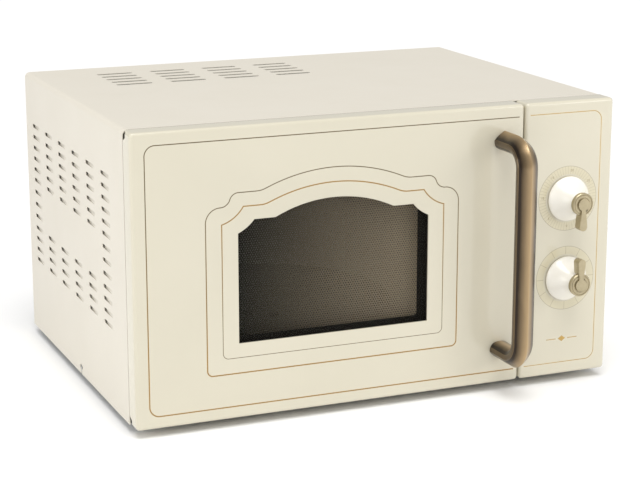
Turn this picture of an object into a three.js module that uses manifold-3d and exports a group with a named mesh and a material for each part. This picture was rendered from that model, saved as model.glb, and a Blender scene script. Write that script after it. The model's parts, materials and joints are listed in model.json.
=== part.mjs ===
// A 20-litre countertop microwave oven with a side-hinged door, a bow handle and two rotary controls.
// Millimetres, +Z up, door facing -Y. The origin is at the middle of the box around the whole oven,
// on the worktop.
// Inside this file y = 0 is the face of the door; the last lines move everything to the origin.
import * as THREE from "three";
import { mergeVertices } from "three/addons/utils/BufferGeometryUtils.js";
import Module from "manifold-3d";

const wasm = await Module();
wasm.setup();

// ---------------------------------------------------------------- driving dimensions
const WIDTH = 452; // door and control panel together
const FRONT_HEIGHT = 254; // door and control panel
const BODY_DEPTH = 345; // door face to the back of the cover
const FRONT_DEPTH = 20; // door face to the front edge of the cover
const FOOT_HEIGHT = 8; // underside of the body above the worktop
const PANEL_WIDTH = 89; // control panel
const SEAM = 1.5; // gap between door and control panel
const GAP = 0.3; // gap left between pieces that touch
const SHEET = 0.8; // folded steel sheet
const SHELL = 2.5; // front wall of the plastic mouldings
const RIM = 2; // side walls of the plastic mouldings

// cover
const COVER_BEND = 5; // outside radius of the two top bends
const COVER_HEM = 12; // rear flange that the back screws pass through
const SIDE_SLOT_LENGTH = 26;
const SIDE_SLOT_HEIGHT = 3.6;
const SIDE_COLUMNS = 6;
const SIDE_COLUMN_PITCH = 46.6;
const SIDE_FIRST_COLUMN = 75; // middle of the front column, behind the door face
const UPPER_ROWS = 6;
const MIDDLE_ROWS = 3; // only in the first and last column
const LOWER_ROWS = 4;
const ROW_PITCH = 10.6;
const MIDDLE_PITCH = 11.9;
const TOP_ROW_DROP = 48; // top of the cover to the first row
const TOP_SLOT_LENGTH = 35.5;
const TOP_SLOT_WIDTH = 3.2;
const TOP_GROUPS = 4;
const TOP_GROUP_PITCH = 53.3;
const TOP_GROUP_INSET = 78; // left side of the cover to the middle of the first group
const TOP_SLOT_ROWS = 5;
const TOP_ROW_PITCH = 16.2;
const TOP_ROWS_REAR = 42; // back of the cover to the rearmost slot
const KEYHOLE_BACK = 170; // keyhole notch in each side, behind the door face
const KEYHOLE_RISE = 9; // top of the notch above the lower edge of the cover
const TAB_HALF = 1; // tab of the base plate that sits in the notch

// cavity
const CAVITY_MARGIN = 27.75; // cavity inside each upright edge of the door
const CAVITY_RISE = 26; // cavity floor above the underside of the body
const CAVITY_HEADROOM = 20; // cavity ceiling below the top of the body
const CAVITY_REAR = 15; // cavity back wall in front of the back of the body
const FRAME_SETBACK = 1.7; // front frame behind the front edge of the cover
const FRAME_SHEET = 1;
const FRAME_INSET = 2.5; // front frame inside the outline of the body

// turntable
const TRAY_RADIUS = 122.5;
const TRAY_THICKNESS = 5;
const TRAY_RIM = 12;
const ROLLER_RADIUS = 7;
const ROLLER_WIDTH = 7;
const ROLLER_TRACK = 91; // distance of the rollers from the turntable axis
const ROLLER_COUNT = 3;
const AXLE_RADIUS = 2;
const RUNNING = 0.3; // radial clearance of turning pieces
const COUPLER_RADIUS = 9;

// door
const DOOR_GAP = 1.2; // door shell in front of the edge of the cover
const HINGE_INSET = 7; // hinge axis inside the left edge of the door
const HINGE_BACK = 8; // hinge axis behind the door face
const PIN_RADIUS = 2.5;
const HINGE_PLATE = 1.5;
const HINGE_LIFT = 3.3; // hinge plates inside the outline of the door
const HINGE_PLAY = 0.5; // between a hinge plate and the ear of the door frame
const WINDOW_HALF = 88.3; // half width of the window
const WINDOW_BOTTOM = 66.4; // above the lower edge of the door
const WINDOW_DROP = 67.7; // top of the door to the top of the arch
const SHOULDER_DROP = 12.7; // top of the arch to the flat shoulders
const SIDE_DROP = 11.1; // shoulders to the tops of the straight sides
const WINDOW_SHOULDER = 73.8; // half distance between the outer ends of the shoulders
const WINDOW_ARCH = 124; // radius of the arch
const WINDOW_RECESS = 0.8; // pane behind the door face
const PANE_LIP = 5; // pane wider than the opening, behind the door wall
const PANE_THICKNESS = 2;
const HOOK_THICKNESS = 3;
const HOOK_HEIGHT = 10;
const HOOK_REACH = 22; // hooks behind the front frame
const HOOK_BARB = 3.5;
const HOOK_LIFT = 4; // how far the latch bar rises to let go
const HOOK_SPREAD = 124; // between the two hooks

// handle
const HANDLE_INSET = 19.5; // middle of the bow from the free edge of the door
const HANDLE_SPAN = 191.5; // between the two legs
const HANDLE_STANDOFF = 42.3; // middle of the section from the door face
const HANDLE_BEND = 18; // radius of the bends at the middle of the section
const HANDLE_HALF = 10; // half width of the section
const HANDLE_RIDGE = 9; // front ridge of the section
const HANDLE_BACK = 8; // rounded back of the section

// controls
const DIAL_SPACING = 74; // timer above power control
const DIAL_RISE = 1.2; // middle of the pair above the middle of the panel
const KNOB_RADIUS = 20.5;
const KNOB_GAP = 1.2; // knob in front of the panel
const KNOB_LENGTH = 22.5;
const KNOB_NECK = 7.4;
const SHAFT_RADIUS = 3;
const CAP_RADIUS = 10.3;
const CAP_THICKNESS = 4;
const LEVER_LENGTH = 24; // shaft axis to the tip of the lever
const LEVER_TIP = 3.7; // half width at the tip
const LEVER_NECK = 2.2;
const LEVER_DEPTH = 8.5;
const LEVER_PROUD = 1.6; // front of the lever in front of the cap

// feet
const FOOT_RADIUS = 10;
const FOOT_INSET_X = 40;
const FOOT_INSET_Y = 38;
const SCREW_HEAD = 4;
const SCREW_HEAD_HEIGHT = 2;
const SCREW_SHANK = 1.9;

// cooling fan
const FAN_RADIUS = 44;
const FAN_BLADES = 5;
const FAN_DEPTH = 12;

// ---------------------------------------------------------------- places worked out from them
const LEFT = -WIDTH / 2;
const RIGHT = WIDTH / 2;
const BOTTOM = FOOT_HEIGHT;
const TOP = BOTTOM + FRONT_HEIGHT;
const DOOR_RIGHT = RIGHT - PANEL_WIDTH - SEAM;
const PANEL_LEFT = RIGHT - PANEL_WIDTH;
const DOOR_MID = (LEFT + DOOR_RIGHT) / 2;
const PANEL_MID = (PANEL_LEFT + RIGHT) / 2;
const MID_Z = (BOTTOM + TOP) / 2;
const WINDOW_TOP = TOP - WINDOW_DROP;
const DOOR_BACK = FRONT_DEPTH - DOOR_GAP;
const FRAME_FRONT = FRONT_DEPTH + FRAME_SETBACK;
const FRAME_BACK = FRAME_FRONT + FRAME_SHEET;
const CAVITY_FRONT = FRAME_BACK + GAP;
const CAVITY_BACK = BODY_DEPTH - CAVITY_REAR;
const CAVITY_LEFT = LEFT + CAVITY_MARGIN;
const CAVITY_RIGHT = DOOR_RIGHT - CAVITY_MARGIN;
const FLOOR = BOTTOM + CAVITY_RISE;
const CEILING = TOP - CAVITY_HEADROOM;
const SPIN_Y = (CAVITY_FRONT + CAVITY_BACK) / 2;
const HINGE_X = LEFT + HINGE_INSET;
const BACK_INNER = BODY_DEPTH - SHEET - GAP; // rear face of the back plate
const BAY_LEFT = CAVITY_RIGHT + SHEET + GAP; // component bay beside the cavity
const BAY_RIGHT = RIGHT - SHEET - GAP;
const BASE_TOP = BOTTOM + SHEET;
const TIMER_Z = MID_Z + DIAL_RISE + DIAL_SPACING / 2;
const POWER_Z = MID_Z + DIAL_RISE - DIAL_SPACING / 2;
const HANDLE_X = DOOR_RIGHT - HANDLE_INSET;
const HOOK_X = (CAVITY_RIGHT + DOOR_RIGHT) / 2 + 4; // latch bar, between choke and door edge
const HOOK_LOW = MID_Z - HOOK_SPREAD / 2;
const HOOK_HIGH = MID_Z + HOOK_SPREAD / 2;

// ---------------------------------------------------------------- materials
const material = (color, roughness, metalness = 0, extra = {}) =>
  new THREE.MeshStandardMaterial({ color, roughness, metalness, ...extra });
const paint = {
  cover: material(0xe9e4d6, 0.4),
  cream: material(0xe0d9bf, 0.25),
  bronze: material(0x7a6a4c, 0.35, 0.9),
  pearl: material(0xf2ecdc, 0.3),
  steel: material(0xb9bcbe, 0.4, 0.9),
  galvanised: material(0xa4a8aa, 0.5, 0.8),
  enamel: material(0xd9d8d2, 0.35),
  dark: material(0x25241f, 0.5),
  glass: material(0xbfd0cc, 0.05, 0, { transparent: true, opacity: 0.4 }),
  smoke: material(0x1d1c19, 0.08, 0, { transparent: true, opacity: 0.7 }),
  mica: material(0xb39b73, 0.7),
  nylon: material(0xe8e6df, 0.5),
  copper: material(0xa8622f, 0.4, 0.8),
  board: material(0x8a6b3c, 0.6),
  rubber: material(0x2a2a2a, 0.9),
};

// ---------------------------------------------------------------- geometry helpers
function solid(geometry) {
  const bare = new THREE.BufferGeometry();
  const flat = geometry.index ? geometry.toNonIndexed() : geometry;
  bare.setAttribute("position", flat.getAttribute("position"));
  const merged = mergeVertices(bare, 1e-3);
  return new wasm.Manifold(
    new wasm.Mesh({
      numProp: 3,
      vertProperties: merged.attributes.position.array,
      triVerts: new Uint32Array(merged.index.array),
    }),
  );
}

function geometryOf(manifold) {
  const mesh = manifold.getMesh();
  const made = new THREE.BufferGeometry();
  made.setAttribute("position", new THREE.BufferAttribute(new Float32Array(mesh.vertProperties), 3));
  made.setIndex(new THREE.BufferAttribute(new Uint32Array(mesh.triVerts), 1));
  return made;
}

const join = (...geometries) =>
  geometryOf(geometries.map(solid).reduce((all, one) => all.add(one)));

function cut(geometry, ...tools) {
  const tool = tools.map(solid).reduce((all, one) => all.add(one));
  return geometryOf(solid(geometry).subtract(tool));
}

function box(x0, x1, y0, y1, z0, z1) {
  const made = new THREE.BoxGeometry(x1 - x0, y1 - y0, z1 - z0);
  return made.translate((x0 + x1) / 2, (y0 + y1) / 2, (z0 + z1) / 2);
}

const extrude = (shape, depth, curveSegments = 6) =>
  new THREE.ExtrudeGeometry(shape, { depth, bevelEnabled: false, curveSegments });

// An outline in X and Z, as seen from the front, made solid from y0 to y1.
const frontSlab = (shape, y0, y1, segments) =>
  extrude(shape, y1 - y0, segments).rotateX(Math.PI / 2).translate(0, y1, 0);

// An outline in Y and Z, as seen from the side, made solid from x0 to x1.
const sideSlab = (shape, x0, x1, segments) =>
  extrude(shape, x1 - x0, segments).applyMatrix4(
    new THREE.Matrix4().set(0, 0, 1, x0, 1, 0, 0, 0, 0, 1, 0, 0, 0, 0, 0, 1),
  );

// An outline in X and Y made solid from z0 to z1.
const flatSlab = (shape, z0, z1, segments) => extrude(shape, z1 - z0, segments).translate(0, 0, z0);

function polygon(points) {
  return new THREE.Shape(points.map(([a, b]) => new THREE.Vector2(a, b)));
}

function roundedRect(x0, x1, y0, y1, r) {
  const s = new THREE.Shape();
  s.moveTo(x0 + r, y0);
  s.lineTo(x1 - r, y0);
  s.absarc(x1 - r, y0 + r, r, -Math.PI / 2, 0);
  s.lineTo(x1, y1 - r);
  s.absarc(x1 - r, y1 - r, r, 0, Math.PI / 2);
  s.lineTo(x0 + r, y1);
  s.absarc(x0 + r, y1 - r, r, Math.PI / 2, Math.PI);
  s.lineTo(x0, y0 + r);
  s.absarc(x0 + r, y0 + r, r, Math.PI, Math.PI * 1.5);
  return s;
}

// A profile of [radius, height] pairs turned about Y, or about Z or X where asked.
function turned(profile, segments, axis = "y") {
  const area = profile.reduce((sum, [r, h], i) => {
    const [r2, h2] = profile[(i + 1) % profile.length];
    return sum + r * h2 - r2 * h;
  }, 0);
  const ordered = area < 0 ? [...profile].reverse() : profile;
  const made = new THREE.LatheGeometry(ordered.map(([r, h]) => new THREE.Vector2(r, h)), segments);
  if (axis === "z") made.rotateX(Math.PI / 2);
  if (axis === "x") made.rotateZ(-Math.PI / 2);
  return made;
}

const rod = (radius, h0, h1, segments, axis) =>
  turned([[0, h0], [radius, h0], [radius, h1], [0, h1]], segments, axis);

const tube = (inner, outer, h0, h1, segments, axis) =>
  turned([[inner, h0], [outer, h0], [outer, h1], [inner, h1], [inner, h0]], segments, axis);

const oven = new THREE.Group();

function add(name, geometry, look, group = oven) {
  const mesh = new THREE.Mesh(geometry, look);
  mesh.name = name;
  group.add(mesh);
  return mesh;
}

// ---------------------------------------------------------------- outer cover
// Folded steel cover: top and two sides, open in front, below and behind, with a rear hem and vent slots.
function coverOutline(inset, bottom) {
  const bend = Math.max(COVER_BEND - inset, 0.5);
  const left = LEFT + inset;
  const right = RIGHT - inset;
  const top = TOP - inset;
  const s = new THREE.Shape();
  s.moveTo(left, bottom);
  s.lineTo(right, bottom);
  s.lineTo(right, top - bend);
  s.absarc(right - bend, top - bend, bend, 0, Math.PI / 2);
  s.lineTo(left + bend, top);
  s.absarc(left + bend, top - bend, bend, Math.PI / 2, Math.PI);
  return s;
}

// Heights of the slot rows, with the middle rows marked: those are only in the end columns.
function sideRows() {
  const rows = [];
  let z = TOP - TOP_ROW_DROP;
  for (let i = 0; i < UPPER_ROWS; i++, z -= ROW_PITCH) rows.push({ z, middle: false });
  z += ROW_PITCH - MIDDLE_PITCH;
  for (let i = 0; i < MIDDLE_ROWS; i++, z -= MIDDLE_PITCH) rows.push({ z, middle: true });
  for (let i = 0; i < LOWER_ROWS; i++, z -= ROW_PITCH) rows.push({ z, middle: false });
  return rows;
}

function sideSlots() {
  const slots = [];
  for (const row of sideRows()) {
    for (let column = 0; column < SIDE_COLUMNS; column++) {
      const end = column === 0 || column === SIDE_COLUMNS - 1;
      if (row.middle && !end) continue;
      const y = SIDE_FIRST_COLUMN + column * SIDE_COLUMN_PITCH;
      slots.push(
        box(LEFT - 1, LEFT + SHEET + 1, y - SIDE_SLOT_LENGTH / 2, y + SIDE_SLOT_LENGTH / 2,
          row.z - SIDE_SLOT_HEIGHT / 2, row.z + SIDE_SLOT_HEIGHT / 2),
      );
    }
  }
  return slots;
}

function topSlots() {
  const slots = [];
  for (let group = 0; group < TOP_GROUPS; group++) {
    const x = LEFT + TOP_GROUP_INSET + group * TOP_GROUP_PITCH;
    for (let row = 0; row < TOP_SLOT_ROWS; row++) {
      const y = BODY_DEPTH - TOP_ROWS_REAR - row * TOP_ROW_PITCH;
      slots.push(
        box(x - TOP_SLOT_LENGTH / 2, x + TOP_SLOT_LENGTH / 2,
          y - TOP_SLOT_WIDTH / 2, y + TOP_SLOT_WIDTH / 2, TOP - SHEET - 1, TOP + 1),
      );
    }
  }
  return slots;
}

// The right side has only the lower rows, in the rear half, beside the fan.
const RIGHT_COLUMNS = 3;
function rightSlots() {
  const slots = [];
  for (const row of sideRows().slice(-LOWER_ROWS)) {
    for (let i = 0; i < RIGHT_COLUMNS; i++) {
      const y = SIDE_FIRST_COLUMN + (SIDE_COLUMNS - 1 - i) * SIDE_COLUMN_PITCH;
      slots.push(
        box(RIGHT - SHEET - 1, RIGHT + 1, y - SIDE_SLOT_LENGTH / 2, y + SIDE_SLOT_LENGTH / 2,
          row.z - SIDE_SLOT_HEIGHT / 2, row.z + SIDE_SLOT_HEIGHT / 2),
      );
    }
  }
  return slots;
}

const SCREW_HOLE = SCREW_SHANK + GAP;
const REAR_SCREW_INSET = 36; // rear screws from the top and the bottom of the cover
const rearScrews = [
  ["upper_left", LEFT + COVER_HEM / 2 + SHEET, TOP - REAR_SCREW_INSET],
  ["upper_right", RIGHT - COVER_HEM / 2 - SHEET, TOP - REAR_SCREW_INSET],
  ["lower_left", LEFT + COVER_HEM / 2 + SHEET, BOTTOM + REAR_SCREW_INSET],
  ["lower_right", RIGHT - COVER_HEM / 2 - SHEET, BOTTOM + REAR_SCREW_INSET],
];
const rearHoles = () =>
  rearScrews.map(([, x, z]) => rod(SCREW_HOLE, BACK_INNER - 3, BODY_DEPTH + 1, 8).translate(x, 0, z));
// Keyhole notches in the lower edges, which hook over tabs of the base plate.
function keyhole(side) {
  const half = TAB_HALF + GAP;
  return join(
    box(side - 3, side + 3, KEYHOLE_BACK - half, KEYHOLE_BACK + half, BOTTOM - 1, BOTTOM + KEYHOLE_RISE),
    box(side - 3, side + 3, KEYHOLE_BACK - half - 1, KEYHOLE_BACK + half + 1, BOTTOM + KEYHOLE_RISE - 4,
      BOTTOM + KEYHOLE_RISE - 0.5),
  );
}

add(
  "outer_cover",
  cut(
    frontSlab(coverOutline(0, BOTTOM), FRONT_DEPTH, BODY_DEPTH, 4),
    frontSlab(coverOutline(SHEET, BOTTOM - 1), FRONT_DEPTH - 1, BODY_DEPTH - SHEET, 4),
    frontSlab(coverOutline(COVER_HEM, BOTTOM - 1), BODY_DEPTH - SHEET - 1, BODY_DEPTH + 1, 4),
    ...sideSlots(), ...topSlots(), ...rightSlots(), ...rearHoles(), keyhole(LEFT), keyhole(RIGHT),
  ),
  paint.cover,
);

// ---------------------------------------------------------------- base plate
const BASE_LEFT = LEFT + SHEET + GAP;
const BASE_RIGHT = RIGHT - SHEET - GAP;
const BASE_LIP = 16; // upturned edges inside the cover
const baseSlots = [];
for (let i = 0; i < 6; i++) {
  const y = FRAME_BACK + 30 + i * 12;
  baseSlots.push(box(PANEL_LEFT, RIGHT - 30, y, y + 5, BOTTOM - 1, BASE_TOP + 1));
}
const feetPlaces = [LEFT + FOOT_INSET_X, RIGHT - FOOT_INSET_X].flatMap((x) =>
  [FRONT_DEPTH + FOOT_INSET_Y, BODY_DEPTH - FOOT_INSET_Y].map((y) => [x, y]),
);
const FOOT_STEM = 3;
// tab on the outside of an upturned edge, flush with the cover
const keyholeTab = (x0, x1) =>
  box(x0, x1, KEYHOLE_BACK - TAB_HALF, KEYHOLE_BACK + TAB_HALF, BOTTOM + 2, BOTTOM + KEYHOLE_RISE - 1.5);
add(
  "base_plate",
  cut(
    join(
      box(BASE_LEFT, BASE_RIGHT, FRAME_FRONT, BACK_INNER - SHEET - GAP, BOTTOM, BASE_TOP),
      box(BASE_LEFT, BASE_LEFT + SHEET, FRAME_BACK + GAP, BACK_INNER - SHEET - GAP, BOTTOM,
        BOTTOM + BASE_LIP),
      box(BASE_RIGHT - SHEET, BASE_RIGHT, FRAME_BACK + GAP, BACK_INNER - SHEET - GAP, BOTTOM,
        BOTTOM + BASE_LIP),
      keyholeTab(LEFT + 0.1, BASE_LEFT + SHEET / 2),
      keyholeTab(BASE_RIGHT - SHEET / 2, RIGHT - 0.1),
    ),
    ...baseSlots,
    ...feetPlaces.map(([x, y]) =>
      rod(FOOT_STEM + GAP, BOTTOM - 1, BASE_TOP + 1, 10, "z").translate(x, y, 0)),
  ),
  paint.galvanised,
);

// ---------------------------------------------------------------- feet
// Rubber feet with a stem pressed up through the base plate.
feetPlaces.forEach(([x, y], i) => {
  const name = `foot_${i % 2 ? "rear" : "front"}_${i < 2 ? "left" : "right"}`;
  const foot = turned(
    [[0, 0], [FOOT_RADIUS - 2, 0], [FOOT_RADIUS, FOOT_HEIGHT - GAP], [FOOT_STEM, FOOT_HEIGHT - GAP],
      [FOOT_STEM, FOOT_HEIGHT + 5], [0, FOOT_HEIGHT + 5]],
    12, "z",
  );
  add(name, foot.translate(x, y, 0), paint.rubber);
});

// ---------------------------------------------------------------- back plate
const GLAND_RADIUS = 7;
const GLAND_X = RIGHT - 40;
const GLAND_Z = BOTTOM + 30;
const FAN_X = (BAY_LEFT + BAY_RIGHT) / 2;
const FAN_Z = MID_Z + 6;
const intake = [];
const INTAKE_ROWS = 9;
for (let i = 0; i < INTAKE_ROWS; i++) {
  const z = FAN_Z + (i - (INTAKE_ROWS - 1) / 2) * 9;
  const half = Math.sqrt(FAN_RADIUS ** 2 - (z - FAN_Z) ** 2);
  intake.push(box(FAN_X - half, FAN_X - 2, BACK_INNER - 3, BACK_INNER + 3, z - 2, z + 2));
  intake.push(box(FAN_X + 2, FAN_X + half, BACK_INNER - 3, BACK_INNER + 3, z - 2, z + 2));
}
add(
  "back_plate",
  cut(
    box(BASE_LEFT, BASE_RIGHT, BACK_INNER - SHEET, BACK_INNER, BOTTOM, TOP - SHEET - GAP),
    ...intake,
    rod(GLAND_RADIUS + GAP, BACK_INNER - 3, BACK_INNER + 3, 12).translate(GLAND_X, 0, GLAND_Z),
    ...rearHoles(),
    // corners clear of the bends in the cover
    ...[BASE_LEFT, BASE_RIGHT].map((x) =>
      box(x - COVER_BEND, x + COVER_BEND, BACK_INNER - 3, BACK_INNER + 3, TOP - COVER_BEND - GAP, TOP)),
  ),
  paint.galvanised,
);

// Bush that the mains lead comes in through.
const GLAND_LIP = 3;
add(
  "cord_gland",
  turned(
    [[4, -5], [GLAND_RADIUS, -5], [GLAND_RADIUS, GAP], [GLAND_RADIUS + GLAND_LIP, GAP],
      [GLAND_RADIUS + GLAND_LIP, 2.4], [4, 2.4], [4, -5]],
    12,
  ).translate(GLAND_X, BACK_INNER, GLAND_Z),
  paint.dark,
);

// ---------------------------------------------------------------- screws
// Pan-head screws that hold the cover to the back plate.
const screw = () =>
  turned([[0, -6], [SCREW_SHANK, -6], [SCREW_SHANK, GAP], [SCREW_HEAD, GAP], [SCREW_HEAD, 1.2],
    [SCREW_HEAD * 0.6, SCREW_HEAD_HEIGHT], [0, SCREW_HEAD_HEIGHT]], 8);
for (const [place, x, z] of rearScrews) {
  add(`rear_screw_${place}`, screw().translate(x, BODY_DEPTH, z), paint.steel);
}

// ---------------------------------------------------------------- front frame
// Flat steel frame around the cavity mouth, with latch slots and a cut-out for the controls.
const FRAME_LEFT = LEFT + FRAME_INSET;
const FRAME_RIGHT = RIGHT - FRAME_INSET;
const FRAME_BOTTOM = BASE_TOP + GAP;
const FRAME_TOP = TOP - FRAME_INSET;
const HOOK_SIDE = 4; // free space beside each hook, for its arc as the door swings
const latchSlot = (z) =>
  box(HOOK_X - HOOK_THICKNESS / 2 - 2, HOOK_X + HOOK_THICKNESS / 2 + HOOK_SIDE,
    FRAME_FRONT - 1, FRAME_BACK + 1,
    z - HOOK_HEIGHT / 2 - HOOK_BARB - 2, z + HOOK_HEIGHT / 2 + HOOK_LIFT + 2);
add(
  "front_frame",
  cut(
    box(FRAME_LEFT, FRAME_RIGHT, FRAME_FRONT, FRAME_BACK, FRAME_BOTTOM, FRAME_TOP),
    box(CAVITY_LEFT, CAVITY_RIGHT, FRAME_FRONT - 1, FRAME_BACK + 1, FLOOR, CEILING),
    latchSlot(HOOK_LOW),
    latchSlot(HOOK_HIGH),
    box(PANEL_LEFT + 6, RIGHT - 8, FRAME_FRONT - 1, FRAME_BACK + 1, POWER_Z - 34, TIMER_Z + 34),
  ),
  paint.enamel,
);

// ---------------------------------------------------------------- oven cavity
const PORT_Y = SPIN_Y - 10; // waveguide port in the right wall
const PORT_WIDTH = 76;
const PORT_HEIGHT = 44;
const PORT_Z = CEILING - 60;
const LAMP_Y = CAVITY_FRONT + 60;
const LAMP_Z = CEILING - 38;
const wallHoles = [];
for (let i = 0; i < 4; i++) {
  const z = LAMP_Z - 9 + i * 6;
  wallHoles.push(box(CAVITY_RIGHT - 1, CAVITY_RIGHT + 3, LAMP_Y - 14, LAMP_Y + 14, z - 1.2, z + 1.2));
  for (let j = 0; j < 2; j++) {
    const y = CAVITY_BACK - 60 + j * 24;
    wallHoles.push(box(CAVITY_LEFT - 3, CAVITY_LEFT + 1, y, y + 18, z - 1.2, z + 1.2));
  }
}
add(
  "oven_cavity",
  cut(
    box(CAVITY_LEFT - SHEET, CAVITY_RIGHT + SHEET, CAVITY_FRONT, CAVITY_BACK + SHEET,
      FLOOR - SHEET, CEILING + SHEET),
    box(CAVITY_LEFT, CAVITY_RIGHT, CAVITY_FRONT - 1, CAVITY_BACK, FLOOR, CEILING),
    rod(7, FLOOR - 3, FLOOR + 3, 12, "z").translate(DOOR_MID, SPIN_Y, 0),
    box(CAVITY_RIGHT - 1, CAVITY_RIGHT + 3, PORT_Y - PORT_WIDTH / 2, PORT_Y + PORT_WIDTH / 2,
      PORT_Z - PORT_HEIGHT / 2, PORT_Z + PORT_HEIGHT / 2),
    ...wallHoles,
  ),
  paint.enamel,
);

const MICA_LAP = 8;
add(
  "waveguide_cover",
  box(CAVITY_RIGHT - GAP - 0.6, CAVITY_RIGHT - GAP, PORT_Y - PORT_WIDTH / 2 - MICA_LAP,
    PORT_Y + PORT_WIDTH / 2 + MICA_LAP, PORT_Z - PORT_HEIGHT / 2 - MICA_LAP,
    PORT_Z + PORT_HEIGHT / 2 + MICA_LAP),
  paint.mica,
);

// ---------------------------------------------------------------- waveguide and magnetron
const GUIDE_DEPTH = 24;
const GUIDE_LENGTH = 130;
const GUIDE_FRONT = PORT_Y - PORT_WIDTH / 2 - 6;
const GUIDE_LOW = PORT_Z - PORT_HEIGHT / 2 - 8;
const GUIDE_HIGH = PORT_Z + PORT_HEIGHT / 2 + 8;
const GUIDE_RIGHT = BAY_LEFT + GUIDE_DEPTH;
const MAG_Y = GUIDE_FRONT + GUIDE_LENGTH - 30;
const ANTENNA_RADIUS = 8;
add(
  "waveguide",
  cut(
    box(BAY_LEFT, GUIDE_RIGHT, GUIDE_FRONT, GUIDE_FRONT + GUIDE_LENGTH, GUIDE_LOW, GUIDE_HIGH),
    box(BAY_LEFT - 1, GUIDE_RIGHT - SHEET, GUIDE_FRONT + SHEET, GUIDE_FRONT + GUIDE_LENGTH - SHEET,
      GUIDE_LOW + SHEET, GUIDE_HIGH - SHEET),
    rod(ANTENNA_RADIUS + 2, GUIDE_RIGHT - 3, GUIDE_RIGHT + 3, 12, "x").translate(0, MAG_Y, PORT_Z),
  ),
  paint.galvanised,
);

const YOKE_LEFT = GUIDE_RIGHT + GAP;
const YOKE_RIGHT = YOKE_LEFT + 52;
const YOKE_HALF_Y = 30;
const YOKE_HALF_Z = 38;
const YOKE_WALL = 2;
const ANODE_RADIUS = 14;
const TERMINAL_BOX = 22;
add(
  "magnetron_yoke",
  cut(
    join(
      box(YOKE_LEFT, YOKE_RIGHT, MAG_Y - YOKE_HALF_Y, MAG_Y + YOKE_HALF_Y, PORT_Z - YOKE_HALF_Z,
        PORT_Z + YOKE_HALF_Z),
      box(YOKE_RIGHT - 1, YOKE_RIGHT + TERMINAL_BOX, MAG_Y - 26, MAG_Y + 26, PORT_Z - 22, PORT_Z + 22),
      box(YOKE_RIGHT + 8, YOKE_RIGHT + 14, MAG_Y - 32, MAG_Y - 25, PORT_Z - 8, PORT_Z - 2),
      box(YOKE_RIGHT + 8, YOKE_RIGHT + 14, MAG_Y - 32, MAG_Y - 25, PORT_Z + 2, PORT_Z + 8),
    ),
    box(YOKE_LEFT + YOKE_WALL, YOKE_RIGHT - YOKE_WALL, MAG_Y - YOKE_HALF_Y - 1, MAG_Y + YOKE_HALF_Y + 1,
      PORT_Z - YOKE_HALF_Z + YOKE_WALL, PORT_Z + YOKE_HALF_Z - YOKE_WALL),
    rod(ANODE_RADIUS + GAP, YOKE_LEFT - 1, YOKE_LEFT + 5, 12, "x").translate(0, MAG_Y, PORT_Z),
  ),
  paint.galvanised,
);
const FIN_COUNT = 6;
const fins = [];
for (let i = 0; i < FIN_COUNT; i++) {
  const x = YOKE_LEFT + 9 + (i * (YOKE_RIGHT - YOKE_LEFT - 19)) / (FIN_COUNT - 1);
  fins.push(box(x, x + 1, MAG_Y - YOKE_HALF_Y + 1, MAG_Y + YOKE_HALF_Y - 1,
    PORT_Z - YOKE_HALF_Z + YOKE_WALL + GAP, PORT_Z + YOKE_HALF_Z - YOKE_WALL - GAP));
}
add(
  "magnetron_anode",
  join(
    rod(ANODE_RADIUS, YOKE_LEFT - GAP / 2, YOKE_RIGHT - YOKE_WALL - GAP, 12, "x")
      .translate(0, MAG_Y, PORT_Z),
    rod(ANTENNA_RADIUS, YOKE_LEFT - 18, YOKE_LEFT + 1, 12, "x").translate(0, MAG_Y, PORT_Z),
    ...fins,
  ),
  paint.copper,
);
// ---------------------------------------------------------------- transformer
// Laminated E-I core standing on the base plate, with a primary and a secondary coil on its middle leg.
const CORE_LEFT = BAY_LEFT + 8;
const CORE_RIGHT = BAY_RIGHT - 10;
const CORE_FRONT = CAVITY_FRONT + 60;
const CORE_BACK = CORE_FRONT + 60;
const CORE_BOTTOM = BASE_TOP + GAP;
const CORE_TOP = CORE_BOTTOM + 78;
const LEG = 16;
const CORE_MID = (CORE_LEFT + CORE_RIGHT) / 2;
const windowHole = (x0, x1) =>
  box(x0, x1, CORE_FRONT - 1, CORE_BACK + 1, CORE_BOTTOM + LEG, CORE_TOP - LEG);
add(
  "transformer_core",
  cut(
    box(CORE_LEFT, CORE_RIGHT, CORE_FRONT, CORE_BACK, CORE_BOTTOM, CORE_TOP),
    windowHole(CORE_LEFT + LEG, CORE_MID - LEG),
    windowHole(CORE_MID + LEG, CORE_RIGHT - LEG),
  ),
  paint.galvanised,
);
const COIL_BULGE = 16;
function coil(z0, z1) {
  const outer = roundedRect(CORE_LEFT + LEG + 1, CORE_RIGHT - LEG - 1, CORE_FRONT - COIL_BULGE,
    CORE_BACK + COIL_BULGE, 12);
  outer.holes.push(
    new THREE.Path(polygon([
      [CORE_MID - LEG - GAP, CORE_FRONT - GAP], [CORE_MID - LEG - GAP, CORE_BACK + GAP],
      [CORE_MID + LEG + GAP, CORE_BACK + GAP], [CORE_MID + LEG + GAP, CORE_FRONT - GAP],
    ]).getPoints()),
  );
  return flatSlab(outer, z0, z1, 3);
}
const COIL_MID = (CORE_BOTTOM + CORE_TOP) / 2;
add("transformer_primary_coil", coil(CORE_BOTTOM + LEG + 1, COIL_MID - 2), paint.copper);
add("transformer_secondary_coil", coil(COIL_MID + 2, CORE_TOP - LEG - 1), paint.board);

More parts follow.
